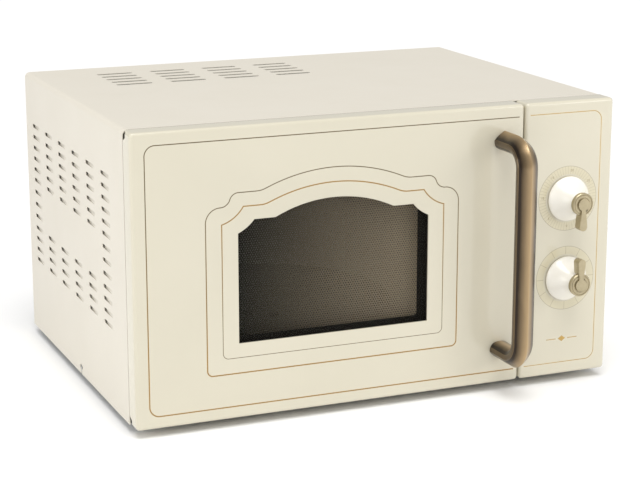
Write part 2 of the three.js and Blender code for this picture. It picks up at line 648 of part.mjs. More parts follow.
// ---------------------------------------------------------------- capacitor
const CAP_FRONT = CORE_BACK + COIL_BULGE + 20;
const CAN_HALF = 26;
const CAN_LENGTH = 84;
const CAN_HEIGHT = 34;
const CAN_X = CORE_MID;
add(
  "capacitor",
  join(
    flatSlab(roundedRect(CAN_X - CAN_HALF, CAN_X + CAN_HALF, CAP_FRONT, CAP_FRONT + CAN_LENGTH, 16),
      BASE_TOP + GAP, BASE_TOP + GAP + CAN_HEIGHT, 4),
    box(CAN_X - 12, CAN_X - 8, CAP_FRONT - 8, CAP_FRONT + 2, BASE_TOP + 16, BASE_TOP + 20),
    box(CAN_X + 8, CAN_X + 12, CAP_FRONT - 8, CAP_FRONT + 2, BASE_TOP + 16, BASE_TOP + 20),
  ),
  paint.steel,
);
// ---------------------------------------------------------------- cooling fan
const SHROUD_BACK = BACK_INNER - SHEET - GAP;
const SHROUD_FRONT = SHROUD_BACK - 2;
const SHROUD_HALF = (BAY_RIGHT - BAY_LEFT) / 2 - 2;
const FAN_TIP = 3; // blade tips clear of the shroud
const MOTOR_BACK = SHROUD_FRONT - FAN_DEPTH - 6;
const MOTOR_FRONT = MOTOR_BACK - 16;
const MOTOR_HALF = 24;
add(
  "fan_shroud",
  cut(
    box(FAN_X - SHROUD_HALF, FAN_X + SHROUD_HALF, SHROUD_FRONT, SHROUD_BACK, FAN_Z - SHROUD_HALF,
      FAN_Z + SHROUD_HALF),
    rod(FAN_RADIUS + FAN_TIP, SHROUD_FRONT - 1, SHROUD_BACK + 1, 28).translate(FAN_X, 0, FAN_Z),
  ),
  paint.galvanised,
);
add(
  "fan_motor",
  cut(
    join(
      box(FAN_X - MOTOR_HALF, FAN_X + MOTOR_HALF, MOTOR_FRONT, MOTOR_BACK, FAN_Z - MOTOR_HALF,
        FAN_Z + MOTOR_HALF),
      box(FAN_X - SHROUD_HALF, FAN_X + SHROUD_HALF, MOTOR_BACK - 2, MOTOR_BACK, FAN_Z - 6, FAN_Z + 6),
      box(FAN_X - SHROUD_HALF, FAN_X - SHROUD_HALF + 2, MOTOR_BACK - 2, SHROUD_FRONT - GAP,
        FAN_Z - 6, FAN_Z + 6),
      box(FAN_X + SHROUD_HALF - 2, FAN_X + SHROUD_HALF, MOTOR_BACK - 2, SHROUD_FRONT - GAP,
        FAN_Z - 6, FAN_Z + 6),
    ),
    rod(2 + RUNNING, MOTOR_FRONT - 1, MOTOR_BACK + 1, 10).translate(FAN_X, 0, FAN_Z),
  ),
  paint.galvanised,
);
const FAN_HUB = 11;
const fanBlades = [];
for (let i = 0; i < FAN_BLADES; i++) {
  const blade = new THREE.BoxGeometry(FAN_RADIUS - FAN_HUB + 3, 1.2, 22);
  blade.rotateX(0.5).translate((FAN_RADIUS + FAN_HUB) / 2 - 2, 0, 0);
  fanBlades.push(blade.rotateY((i * 2 * Math.PI) / FAN_BLADES));
}
add(
  "fan_rotor",
  join(
    turned([[0, -FAN_DEPTH / 2], [FAN_HUB, -FAN_DEPTH / 2], [FAN_HUB, FAN_DEPTH / 2],
      [0, FAN_DEPTH / 2]], 14),
    turned([[0, -FAN_DEPTH / 2 - 20], [2, -FAN_DEPTH / 2 - 20], [2, 0], [0, 0]], 10),
    ...fanBlades,
  ).translate(FAN_X, SHROUD_FRONT - FAN_DEPTH / 2 + 1, FAN_Z),
  paint.nylon,
);

// ---------------------------------------------------------------- cavity lamp
const LAMP_PLATE = BAY_LEFT + 44;
add(
  "lamp_holder",
  cut(
    join(
      box(LAMP_PLATE, LAMP_PLATE + 1.2, LAMP_Y - 16, LAMP_Y + 16, LAMP_Z - 16, LAMP_Z + 16),
      box(BAY_LEFT, LAMP_PLATE + 1.2, LAMP_Y - 17.2, LAMP_Y - 16, LAMP_Z - 16, LAMP_Z + 16),
      tube(8, 11, LAMP_PLATE - 8, LAMP_PLATE + 1, 12, "x").translate(0, LAMP_Y, LAMP_Z),
    ),
    rod(8, LAMP_PLATE - 9, LAMP_PLATE + 3, 12, "x").translate(0, LAMP_Y, LAMP_Z),
  ),
  paint.galvanised,
);
add(
  "cavity_lamp",
  turned([[0, 0], [5, 1], [9.5, 7], [10.5, 13], [7.6, 20], [7.6, 34], [0, 34]], 12, "x")
    .translate(LAMP_PLATE - 30, LAMP_Y, LAMP_Z),
  paint.glass,
);

// ---------------------------------------------------------------- mains filter board
const BOARD_LOW = FAN_Z + SHROUD_HALF + 4;
const BOARD_HIGH = TOP - 14;
const BOARD_BACK = SHROUD_BACK - 6;
const boardPart = (x0, x1, deep, z0, z1) =>
  box(BAY_LEFT + x0, BAY_LEFT + x1, BOARD_BACK - deep, BOARD_BACK, z0, z1);
const standoffs = [20, 92].flatMap((x) =>
  [BOARD_LOW + 4, BOARD_HIGH - 4].map((z) =>
    rod(2.5, BOARD_BACK - 1, SHROUD_BACK, 8).translate(BAY_LEFT + x, 0, z)),
);
add(
  "filter_board",
  join(
    boardPart(14, 98, 1.6, BOARD_LOW, BOARD_HIGH),
    boardPart(30, 48, 18, BOARD_LOW + 8, BOARD_LOW + 26),
    boardPart(56, 76, 14, BOARD_LOW + 6, BOARD_LOW + 18),
    boardPart(56, 82, 9, BOARD_LOW + 24, BOARD_LOW + 32),
    ...standoffs,
  ),
  paint.board,
);

// ---------------------------------------------------------------- turntable drive
const MOTOR_RADIUS = 25;
add(
  "turntable_motor",
  cut(
    join(
      rod(MOTOR_RADIUS, FLOOR - SHEET - GAP - 14, FLOOR - SHEET - GAP, 20, "z"),
      box(-32, 32, -7, 7, FLOOR - SHEET - GAP - 1.2, FLOOR - SHEET - GAP),
    ),
    rod(3 + RUNNING, FLOOR - 20, FLOOR + 1, 10, "z"),
  ).translate(DOOR_MID, SPIN_Y, 0),
  paint.galvanised,
);

const ROLLER_Z = FLOOR + ROLLER_RADIUS;
const TRAY_BOTTOM = FLOOR + 2 * ROLLER_RADIUS + GAP;
const COUPLER_TOP = TRAY_BOTTOM - 1;
const lobes = [];
for (let i = 0; i < 3; i++) {
  lobes.push(
    box(0, COUPLER_RADIUS + 5, -3, 3, COUPLER_TOP - 8, COUPLER_TOP).rotateZ((i * 2 * Math.PI) / 3),
  );
}
add(
  "turntable_coupler",
  join(
    rod(3, FLOOR - 14, FLOOR + 2, 10, "z"),
    rod(COUPLER_RADIUS, FLOOR + 1, COUPLER_TOP, 14, "z"),
    ...lobes,
  ).translate(DOOR_MID, SPIN_Y, 0),
  paint.nylon,
);

// Ring that carries the rollers: a flat hoop with stub axles on its outside.
const RING_OUTER = ROLLER_TRACK - ROLLER_WIDTH / 2 - 2;
const RING_INNER = RING_OUTER - 5;
const axles = [];
for (let i = 0; i < ROLLER_COUNT; i++) {
  axles.push(
    turned([[0, RING_OUTER - 2], [AXLE_RADIUS, RING_OUTER - 2],
      [AXLE_RADIUS, ROLLER_TRACK + ROLLER_WIDTH / 2 + 1],
      [0, ROLLER_TRACK + ROLLER_WIDTH / 2 + 1]], 10, "x").rotateZ((i * 2 * Math.PI) / ROLLER_COUNT),
  );
}
add(
  "roller_ring",
  join(tube(RING_INNER, RING_OUTER, -2.5, 2.5, 36, "z"), ...axles).translate(DOOR_MID, SPIN_Y, ROLLER_Z),
  paint.nylon,
);
for (let i = 0; i < ROLLER_COUNT; i++) {
  add(
    `roller_${i + 1}`,
    tube(AXLE_RADIUS + RUNNING, ROLLER_RADIUS - 0.1, ROLLER_TRACK - ROLLER_WIDTH / 2,
      ROLLER_TRACK + ROLLER_WIDTH / 2, 16, "x")
      .rotateZ((i * 2 * Math.PI) / ROLLER_COUNT)
      .translate(DOOR_MID, SPIN_Y, ROLLER_Z),
    paint.nylon,
  );
}

// Glass turntable with a raised rim, and three lugs below that sit between the lobes of the coupler.
const lugs = [];
for (let i = 0; i < 3; i++) {
  lugs.push(
    box(COUPLER_RADIUS + 2, COUPLER_RADIUS + 8, -3, 3, TRAY_BOTTOM - 5, TRAY_BOTTOM + 1)
      .rotateZ(((i + 0.5) * 2 * Math.PI) / 3),
  );
}
add(
  "glass_turntable",
  join(
    turned(
      [[0, TRAY_BOTTOM], [TRAY_RADIUS - 16, TRAY_BOTTOM], [TRAY_RADIUS, TRAY_BOTTOM + TRAY_RIM - 2],
        [TRAY_RADIUS - 1, TRAY_BOTTOM + TRAY_RIM], [TRAY_RADIUS - 18, TRAY_BOTTOM + TRAY_THICKNESS],
        [0, TRAY_BOTTOM + TRAY_THICKNESS]],
      48, "z",
    ),
    ...lugs,
  ).translate(DOOR_MID, SPIN_Y, 0),
  paint.glass,
);

// ---------------------------------------------------------------- interlock switches
// A bracket behind the front frame holds three switches: one behind each hook, one below the lower hook.
const SWITCH_THICK = 10.3;
const SWITCH_DEEP = 16;
const SWITCH_LONG = 27.8;
const SWITCH_SHORT_END = 7.9; // plunger to the nearer end
const PLUNGER_TRAVEL = 1.5;
const PLUNGER_HALF = 1.5;
const HOOK_TIP = FRAME_BACK + HOOK_REACH;
const PLUNGER_GAP = 0.6;
const SWITCH_FRONT = HOOK_TIP + PLUNGER_GAP + PLUNGER_TRAVEL + 0.5;
const BRACKET_X = HOOK_X + SWITCH_THICK / 2 + GAP;
const MONITOR_Z = HOOK_LOW - HOOK_HEIGHT / 2 - HOOK_BARB - PLUNGER_GAP - PLUNGER_TRAVEL - 0.5;
add(
  "latch_bracket",
  join(
    box(BRACKET_X, BRACKET_X + 2, FRAME_BACK + GAP, SWITCH_FRONT + SWITCH_DEEP, HOOK_LOW - 30,
      HOOK_HIGH + 22),
    box(BRACKET_X, BRACKET_X + 9, FRAME_BACK + GAP, FRAME_BACK + GAP + 2, HOOK_LOW - 30, HOOK_HIGH + 22),
  ),
  paint.nylon,
);
// The switch is drawn with its plunger facing -y at the origin; a pocket in it lets the plunger travel.
function switchBody() {
  return cut(
    box(-SWITCH_THICK / 2, SWITCH_THICK / 2, 0, SWITCH_DEEP, -SWITCH_SHORT_END,
      SWITCH_LONG - SWITCH_SHORT_END),
    box(-PLUNGER_HALF - GAP, PLUNGER_HALF + GAP, -1, 5, -PLUNGER_HALF - GAP, PLUNGER_HALF + GAP),
  );
}
const plungerShape = () =>
  box(-PLUNGER_HALF, PLUNGER_HALF, -PLUNGER_TRAVEL - 0.5, 3, -PLUNGER_HALF, PLUNGER_HALF);
const switches = [
  ["primary", (g) => g.translate(HOOK_X, SWITCH_FRONT, HOOK_HIGH)],
  ["secondary", (g) => g.translate(HOOK_X, SWITCH_FRONT, HOOK_LOW)],
  ["monitor", (g) => g.rotateX(-Math.PI / 2).translate(HOOK_X, HOOK_TIP - 6.5, MONITOR_Z)],
];
for (const [name, place] of switches) {
  add(`${name}_switch`, place(switchBody()), paint.dark);
  add(`${name}_switch_plunger`, place(plungerShape()), paint.nylon);
}

// ---------------------------------------------------------------- door
// Outline of the window: straight sides, scooped corners, flat shoulders and a low arch.
function windowOutline(grow) {
  const base = BOTTOM + WINDOW_BOTTOM - grow;
  const flat = WINDOW_TOP - SHOULDER_DROP + grow;
  const side = flat - SIDE_DROP - grow / 2;
  const half = WINDOW_HALF + grow;
  const shoulder = WINDOW_SHOULDER + grow / 2;
  const radius = WINDOW_ARCH + grow;
  const centre = WINDOW_TOP - WINDOW_ARCH;
  const meet = Math.sqrt(radius ** 2 - (flat - centre) ** 2);
  const swing = Math.asin(meet / radius);
  const scoop = [(half + shoulder) / 2 - 1.7, (side + flat) / 2 - 2.2];
  const s = new THREE.Shape();
  s.moveTo(DOOR_MID - half, base);
  s.lineTo(DOOR_MID + half, base);
  s.lineTo(DOOR_MID + half, side);
  s.quadraticCurveTo(DOOR_MID + scoop[0], scoop[1], DOOR_MID + shoulder, flat);
  s.lineTo(DOOR_MID + meet, flat);
  s.absarc(DOOR_MID, centre, radius, Math.PI / 2 - swing, Math.PI / 2 + swing, false);
  s.lineTo(DOOR_MID - shoulder, flat);
  s.quadraticCurveTo(DOOR_MID - scoop[0], scoop[1], DOOR_MID - half, side);
  s.lineTo(DOOR_MID - half, base);
  return s;
}

const EDGE = 2.5; // chamfer round the front of the mouldings
// A tray-shaped moulding, open behind, with chamfered front edges.
function moulding(x0, x1, z0, z1, back) {
  const w = x1 - x0;
  const h = z1 - z0;
  const body = box(x0, x1, EDGE, back, z0, z1);
  const face = new THREE.ExtrudeGeometry(
    polygon([[x0 + EDGE, z0 + EDGE], [x1 - EDGE, z0 + EDGE], [x1 - EDGE, z1 - EDGE],
      [x0 + EDGE, z1 - EDGE]]),
    { depth: 0.2, bevelEnabled: true, bevelThickness: EDGE, bevelSize: EDGE, bevelSegments: 1,
      curveSegments: 1 },
  ).rotateX(Math.PI / 2).translate(0, EDGE + 0.2, 0);
  const pocket = box(x0 + RIM, x0 + w - RIM, SHELL, back + 1, z0 + RIM, z0 + h - RIM);
  return cut(join(body, face), pocket);
}

// Corner of the left wall cut away beside each hinge, so that the fixed arm clears it as the door swings.
const NOTCH_DEPTH = 6.5;
const NOTCH_HEIGHT = 8;
function hingeNotch(z, up) {
  const points = [
    [DOOR_BACK - NOTCH_DEPTH, z - up], [DOOR_BACK + 1, z - up], [DOOR_BACK + 1, z + up * NOTCH_HEIGHT],
    [DOOR_BACK - 2, z + up * NOTCH_HEIGHT], [DOOR_BACK - NOTCH_DEPTH, z + up * (NOTCH_HEIGHT - 2.5)],
  ];
  return sideSlab(polygon(up > 0 ? points : points.reverse()), LEFT - 1, LEFT + RIM + 1);
}
add(
  "door_panel",
  cut(
    moulding(LEFT, DOOR_RIGHT, BOTTOM, TOP, DOOR_BACK),
    frontSlab(windowOutline(0), -1, SHELL + 1, 8),
    hingeNotch(BOTTOM, 1),
    hingeNotch(TOP, -1),
    // screw holes of the handle
    ...[-1, 1].map((end) =>
      rod(2.2, -1, SHELL + 1, 8).translate(HANDLE_X, 0, MID_Z + (end * HANDLE_SPAN) / 2)),
  ),
  paint.cream,
);

add(
  "door_glass",
  join(
    frontSlab(windowOutline(-GAP), WINDOW_RECESS, SHELL + GAP + PANE_THICKNESS / 2, 8),
    frontSlab(windowOutline(PANE_LIP), SHELL + GAP, SHELL + GAP + PANE_THICKNESS, 8),
  ),
  paint.smoke,
);

// Steel frame of the door: a plate, and walls turned back round the choke, with hinge ears.
const FRAME_PLATE = SHELL + GAP + PANE_THICKNESS + GAP + 1; // front of the steel door frame
const DOOR_STEEL = 0.8;
const OPENING_HALF = WINDOW_HALF + 12; // opening of the frame, clear of slanting views through the window
const OPENING_LOW = BOTTOM + WINDOW_BOTTOM - 12;
const OPENING_HIGH = WINDOW_TOP + 12;
const STEEL_LEFT = HINGE_X - 4;
const STEEL_RIGHT = HOOK_X - HOOK_THICKNESS / 2 - 3;
const STEEL_LOW = BOTTOM + HINGE_LIFT + HINGE_PLATE + HINGE_PLAY;
const STEEL_HIGH = TOP - HINGE_LIFT - HINGE_PLATE - HINGE_PLAY;
const HINGE_EAR = 8;
add(
  "door_frame",
  cut(
    join(
      box(STEEL_LEFT, STEEL_RIGHT, FRAME_PLATE, FRAME_PLATE + DOOR_STEEL, STEEL_LOW, STEEL_HIGH),
      box(STEEL_LEFT + 12, STEEL_RIGHT, FRAME_PLATE, DOOR_BACK - 1, STEEL_LOW, STEEL_LOW + DOOR_STEEL),
      box(STEEL_LEFT + 12, STEEL_RIGHT, FRAME_PLATE, DOOR_BACK - 1, STEEL_HIGH - DOOR_STEEL, STEEL_HIGH),
      box(STEEL_LEFT + 12, STEEL_LEFT + 12 + DOOR_STEEL, FRAME_PLATE, DOOR_BACK - 1, STEEL_LOW,
        STEEL_HIGH),
      box(STEEL_RIGHT - DOOR_STEEL, STEEL_RIGHT, FRAME_PLATE, DOOR_BACK - 1, STEEL_LOW, STEEL_HIGH),
      ...[STEEL_LOW, STEEL_HIGH - HINGE_EAR].map((z) =>
        rod(4, z, z + HINGE_EAR, 12, "z").translate(HINGE_X, HINGE_BACK, 0)),
      ...[STEEL_LOW, STEEL_HIGH - 2].map((z) =>
        box(HINGE_X - 3, STEEL_LEFT + 13, FRAME_PLATE, HINGE_BACK + 3, z, z + 2)),
    ),
    box(DOOR_MID - OPENING_HALF, DOOR_MID + OPENING_HALF, FRAME_PLATE - 1, FRAME_PLATE + 3,
      OPENING_LOW, OPENING_HIGH),
    ...[STEEL_LOW - 1, STEEL_HIGH - HINGE_EAR - 1].map((z) =>
      rod(PIN_RADIUS + RUNNING, z, z + HINGE_EAR + 2, 12, "z").translate(HINGE_X, HINGE_BACK, 0)),
  ),
  paint.dark,
);

// Plastic choke cover that faces the cavity, with an opening for the screen in its middle.
const CHOKE_FRONT = FRAME_PLATE + DOOR_STEEL + GAP + 1;
const CHOKE_BACK = FRAME_FRONT - 0.5;
const CHOKE_LAP = 7; // choke over the edge of the cavity mouth
const CHOKE_WALL = 2;
const CHOKE_LEFT = CAVITY_LEFT - CHOKE_LAP;
const CHOKE_RIGHT = CAVITY_RIGHT + CHOKE_LAP;
const CHOKE_LOW = FLOOR - CHOKE_LAP;
const CHOKE_HIGH = CEILING + CHOKE_LAP;
add(
  "door_choke_cover",
  cut(
    box(CHOKE_LEFT, CHOKE_RIGHT, CHOKE_FRONT, CHOKE_BACK, CHOKE_LOW, CHOKE_HIGH),
    box(CHOKE_LEFT + CHOKE_WALL, CHOKE_RIGHT - CHOKE_WALL, CHOKE_FRONT - 1, CHOKE_BACK - CHOKE_WALL,
      CHOKE_LOW + CHOKE_WALL, CHOKE_HIGH - CHOKE_WALL),
    box(DOOR_MID - OPENING_HALF, DOOR_MID + OPENING_HALF, CHOKE_FRONT - 1, CHOKE_BACK + 1,
      OPENING_LOW, OPENING_HIGH),
  ),
  paint.dark,
);

// Clear pane behind the opening of the choke cover, and the screen plate in front of it.
const PANE_LAP = 4;
const INNER_PANE_THICKNESS = 1;
const SCREEN_THICKNESS = 0.6;
const INNER_PANE_BACK = CHOKE_BACK - CHOKE_WALL - GAP;
const INNER_PANE_FRONT = INNER_PANE_BACK - INNER_PANE_THICKNESS;
const SCREEN_BACK = INNER_PANE_FRONT - GAP;
const lapped = (y0, y1) =>
  box(DOOR_MID - OPENING_HALF - PANE_LAP, DOOR_MID + OPENING_HALF + PANE_LAP, y0, y1,
    OPENING_LOW - PANE_LAP, OPENING_HIGH + PANE_LAP);
add("door_inner_pane", lapped(INNER_PANE_FRONT, INNER_PANE_BACK), paint.glass);
add("door_screen", lapped(SCREEN_BACK - SCREEN_THICKNESS, SCREEN_BACK), paint.dark);

// ---------------------------------------------------------------- hinges
// Fixed plates on the front frame; each carries an upright pin inside the door.
const ARM_HALF = 3;
const ARM_REACH = 12; // hinge axis to the neck that runs back to the frame
const ARM_END = 20;
const TAB_HEIGHT = 9;
function hinge(z, up) {
  const plate = up > 0 ? z : z - HINGE_PLATE;
  const tab = up > 0 ? z : z - TAB_HEIGHT;
  const pin = up > 0 ? plate + 0.5 : plate + 1 - HINGE_PLAY - HINGE_EAR - 0.5;
  const arm = polygon([
    [HINGE_X - ARM_HALF, HINGE_BACK - ARM_HALF], [HINGE_X + ARM_END, HINGE_BACK - ARM_HALF],
    [HINGE_X + ARM_END, FRAME_FRONT - GAP], [HINGE_X + ARM_REACH, FRAME_FRONT - GAP],
    [HINGE_X + ARM_REACH, HINGE_BACK + ARM_HALF], [HINGE_X - ARM_HALF, HINGE_BACK + ARM_HALF],
  ]);
  return join(
    flatSlab(arm, plate, plate + HINGE_PLATE),
    box(HINGE_X + ARM_REACH, HINGE_X + ARM_END, FRAME_FRONT - GAP - 1.2, FRAME_FRONT - GAP, tab,
      tab + TAB_HEIGHT),
    rod(PIN_RADIUS, pin, pin + HINGE_EAR + HINGE_PLAY + 0.5, 12, "z").translate(HINGE_X, HINGE_BACK, 0),
  );
}
add("lower_hinge", hinge(BOTTOM + HINGE_LIFT, 1), paint.steel);
add("upper_hinge", hinge(TOP - HINGE_LIFT, -1), paint.steel);

// ---------------------------------------------------------------- latch bar
// Upright bar in the door with two barbed hooks; a spring holds it down and it lifts to let go.
const BAR_FRONT = SHELL + 2;
const BAR_BACK = DOOR_BACK - 3;
function hookOutline(z) {
  const half = HOOK_HEIGHT / 2;
  return polygon([
    [BAR_BACK - 1, z - half], [HOOK_TIP - 7, z - half], [HOOK_TIP - 7, z - half - HOOK_BARB],
    [HOOK_TIP - 5, z - half - HOOK_BARB], [HOOK_TIP, z - half + 2], [HOOK_TIP, z + half - 2],
    [HOOK_TIP - 3, z + half], [BAR_BACK - 1, z + half],
  ]);
}
const BAR_LOW = HOOK_LOW - HOOK_HEIGHT / 2;
const BAR_HIGH = HOOK_HIGH + HOOK_HEIGHT / 2;
add(
  "latch_bar",
  join(
    box(HOOK_X - HOOK_THICKNESS / 2, HOOK_X + HOOK_THICKNESS / 2, BAR_FRONT, BAR_BACK, BAR_LOW, BAR_HIGH),
    ...[HOOK_LOW, HOOK_HIGH].map((z) =>
      sideSlab(hookOutline(z), HOOK_X - HOOK_THICKNESS / 2, HOOK_X + HOOK_THICKNESS / 2)),
  ),
  paint.nylon,
);

// ---------------------------------------------------------------- handle
// Bow handle: two legs and an upright grip of one section, with a ridge in front and a rounded back.
function handleSection() {
  // x across the grip, y outwards
  const s = new THREE.Shape();
  s.moveTo(0, HANDLE_RIDGE);
  s.quadraticCurveTo(-HANDLE_HALF * 0.62, HANDLE_RIDGE * 0.62, -HANDLE_HALF, 0.8);
  s.bezierCurveTo(-HANDLE_HALF, -HANDLE_BACK * 0.7, -HANDLE_HALF * 0.6, -HANDLE_BACK, 0, -HANDLE_BACK);
  s.bezierCurveTo(HANDLE_HALF * 0.6, -HANDLE_BACK, HANDLE_HALF, -HANDLE_BACK * 0.7, HANDLE_HALF, 0.8);
  s.quadraticCurveTo(HANDLE_HALF * 0.62, HANDLE_RIDGE * 0.62, 0, HANDLE_RIDGE);
  return s;
}

// Sweeps the section round the bow: each station turns about X, so the ridge stays outside.
function bow() {
  const outline = handleSection().getPoints(4).slice(0, -1);
  const legZ = HANDLE_SPAN / 2;
  const BEND_STEPS = 7;
  const stations = [{ y: -GAP, z: legZ, turn: Math.PI / 2 }];
  for (let i = 0; i <= BEND_STEPS; i++) {
    const a = (Math.PI / 2) * (1 - i / BEND_STEPS);
    stations.push({
      y: -(HANDLE_STANDOFF - HANDLE_BEND) - HANDLE_BEND * Math.cos(a),
      z: legZ - HANDLE_BEND + HANDLE_BEND * Math.sin(a),
      turn: a,
    });
  }
  const lower = [...stations].reverse().map(({ y, z, turn }) => ({ y, z: -z, turn: -turn }));
  const positions = [];
  for (const { y, z, turn } of [...stations, ...lower]) {
    for (const p of outline) {
      positions.push(p.x, y - p.y * Math.cos(turn), z + p.y * Math.sin(turn));
    }
  }
  const n = outline.length;
  const rings = positions.length / 3 / n;
  const triangles = [];
  for (let r = 0; r + 1 < rings; r++) {
    for (let i = 0; i < n; i++) {
      const a = r * n + i;
      const b = r * n + ((i + 1) % n);
      triangles.push(a, b, b + n, a, b + n, a + n);
    }
  }
  const cap = THREE.ShapeUtils.triangulateShape(outline, []);
  for (const [a, b, c] of cap) {
    triangles.push(a, c, b);
    triangles.push((rings - 1) * n + a, (rings - 1) * n + b, (rings - 1) * n + c);
  }
  const made = new THREE.BufferGeometry();
  made.setAttribute("position", new THREE.Float32BufferAttribute(positions, 3));
  made.setIndex(triangles);
  return made;
}
add("door_handle", bow().translate(HANDLE_X, 0, MID_Z), paint.bronze);

// ---------------------------------------------------------------- control panel
const SHAFT_HOLE = SHAFT_RADIUS + 2;
add(
  "control_panel",
  cut(
    moulding(PANEL_LEFT, RIGHT, BOTTOM, TOP, FRONT_DEPTH - GAP),
    ...[TIMER_Z, POWER_Z].map((z) => rod(SHAFT_HOLE, -1, SHELL + 1, 12).translate(PANEL_MID, 0, z)),
  ),
  paint.cream,
);

// Clockwork timer and power switch in one case.
const CASE_FRONT = SHELL + 3;
const CASE_BACK = CASE_FRONT + 44;
const CASE_HALF = 28;
add(
  "timer_case",
  cut(
    box(PANEL_MID - CASE_HALF, PANEL_MID + CASE_HALF, CASE_FRONT, CASE_BACK, POWER_Z - 26, TIMER_Z + 26),
    ...[TIMER_Z, POWER_Z].map((z) =>
      rod(SHAFT_RADIUS + RUNNING, CASE_FRONT - 1, CASE_FRONT + 20, 12).translate(PANEL_MID, 0, z)),
  ),
  paint.nylon,
);
// Bell-shaped knob turned about Y: a wide base at the panel, a narrow neck in front, bored for the shaft.
const KNOB_BACK = -KNOB_GAP;
const KNOB_FRONT = -KNOB_GAP - KNOB_LENGTH;
const SHAFT_FRONT = KNOB_FRONT + 6;
function knob() {
  const bore = SHAFT_RADIUS + GAP;
  const profile = [[0, SHAFT_FRONT - GAP], [bore, SHAFT_FRONT - GAP], [bore, KNOB_BACK],
    [KNOB_RADIUS - 0.6, KNOB_BACK], [KNOB_RADIUS, KNOB_BACK - 0.8]];
  const flare = 8;
  for (let i = 0; i <= flare; i++) {
    const t = i / flare;
    const r = KNOB_NECK + (KNOB_RADIUS - 0.4 - KNOB_NECK) * (1 - t) ** 1.9;
    profile.push([r, KNOB_BACK - 2 - (KNOB_LENGTH - 2) * t ** 0.85]);
  }
  profile.push([0, KNOB_FRONT]);
  return turned(profile, 32);
}
function shaft() {
  return turned([[0, SHAFT_FRONT], [SHAFT_RADIUS, SHAFT_FRONT], [SHAFT_RADIUS, CASE_FRONT + 18],
    [0, CASE_FRONT + 18]], 12);
}
// Round metal cap with a lever that points upwards.
const CAP_BACK = KNOB_FRONT - GAP;
const CAP_FACE = CAP_BACK - CAP_THICKNESS;
function leverOutline() {
  const s = new THREE.Shape();
  s.moveTo(-LEVER_NECK, 4);
  s.lineTo(LEVER_NECK, 4);
  s.lineTo(LEVER_NECK, CAP_RADIUS - 3);
  s.lineTo(LEVER_TIP, LEVER_LENGTH - LEVER_TIP);
  s.absarc(0, LEVER_LENGTH - LEVER_TIP, LEVER_TIP, 0, Math.PI);
  s.lineTo(-LEVER_NECK, CAP_RADIUS - 3);
  s.lineTo(-LEVER_NECK, 4);
  return s;
}
function pointer() {
  const disc = turned([[0, CAP_BACK], [CAP_RADIUS, CAP_BACK], [CAP_RADIUS, CAP_FACE + 0.6],
    [CAP_RADIUS - 0.6, CAP_FACE], [0, CAP_FACE]], 28);
  const boss = rod(5.5, CAP_FACE - 1, CAP_FACE + 1, 20);
  const lever = frontSlab(leverOutline(), CAP_FACE - LEVER_PROUD,
    CAP_FACE - LEVER_PROUD + LEVER_DEPTH, 4);
  // the lever is deeper than the cap, and hollowed behind so that it clears the neck of the knob
  return cut(join(disc, boss, lever), rod(KNOB_NECK + 1.8, CAP_BACK, CAP_BACK + LEVER_DEPTH, 24));
}
for (const [name, z, turn] of [["timer", TIMER_Z, Math.PI], ["power", POWER_Z, 0]]) {
  add(`${name}_knob`, knob().translate(PANEL_MID, 0, z), paint.pearl);
  add(`${name}_pointer`, pointer().rotateY(turn).translate(PANEL_MID, 0, z), paint.bronze);
  add(`${name}_shaft`, shaft().translate(PANEL_MID, 0, z), paint.nylon);
}

// ---------------------------------------------------------------- to the origin
const FRONTMOST = -(HANDLE_STANDOFF + HANDLE_RIDGE);
const REARMOST = BODY_DEPTH + SCREW_HEAD_HEIGHT;
oven.position.y = -(FRONTMOST + REARMOST) / 2;

const root = new THREE.Group();
root.add(oven);
export default root;
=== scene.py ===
import json
import math

import bpy
from mathutils import Matrix, Vector

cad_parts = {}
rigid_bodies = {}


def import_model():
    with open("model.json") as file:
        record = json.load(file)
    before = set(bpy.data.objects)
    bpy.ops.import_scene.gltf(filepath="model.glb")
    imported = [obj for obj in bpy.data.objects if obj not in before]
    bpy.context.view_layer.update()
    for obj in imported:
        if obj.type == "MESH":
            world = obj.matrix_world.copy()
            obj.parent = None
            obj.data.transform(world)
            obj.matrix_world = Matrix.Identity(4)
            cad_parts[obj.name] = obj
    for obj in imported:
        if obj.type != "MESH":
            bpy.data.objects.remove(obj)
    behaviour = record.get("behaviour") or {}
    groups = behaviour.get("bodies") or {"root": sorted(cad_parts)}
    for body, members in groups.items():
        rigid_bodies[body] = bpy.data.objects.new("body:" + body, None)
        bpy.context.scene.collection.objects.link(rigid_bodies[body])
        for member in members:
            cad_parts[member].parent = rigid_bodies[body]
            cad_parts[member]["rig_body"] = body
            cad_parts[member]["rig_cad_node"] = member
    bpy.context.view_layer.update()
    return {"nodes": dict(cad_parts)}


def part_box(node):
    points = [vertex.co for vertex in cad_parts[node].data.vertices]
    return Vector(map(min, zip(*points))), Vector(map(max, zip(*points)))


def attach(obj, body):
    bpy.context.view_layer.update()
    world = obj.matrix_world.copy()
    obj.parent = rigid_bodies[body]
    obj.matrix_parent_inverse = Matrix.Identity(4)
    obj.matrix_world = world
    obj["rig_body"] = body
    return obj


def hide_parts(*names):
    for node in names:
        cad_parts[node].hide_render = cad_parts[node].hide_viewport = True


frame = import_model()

# ---------------------------------------------------------------- outer cover
# One sheet of steel folded over the machine: left side, top and right side, with a hem turned in at
# the back. The side vents are tongues pressed inwards, the top vents are plain slots, and the sheet
# is powder coated off-white.
mm = 0.001


def near(a, b):
    """Whether two measures are the same, to within a twentieth of a millimetre."""
    return abs(a - b) < 0.05 * mm


def named(name):
    """Names the piece that was made last."""
    bpy.context.object.name = bpy.context.object.data.name = name
    return bpy.context.object


def put_down(piece=None):
    """Leaves editing."""
    if bpy.context.mode != "OBJECT":
        bpy.ops.object.mode_set(mode="OBJECT")
    return piece


def let_go():
    """Leaves editing and selects nothing."""
    put_down()
    bpy.ops.object.select_all(action="DESELECT")


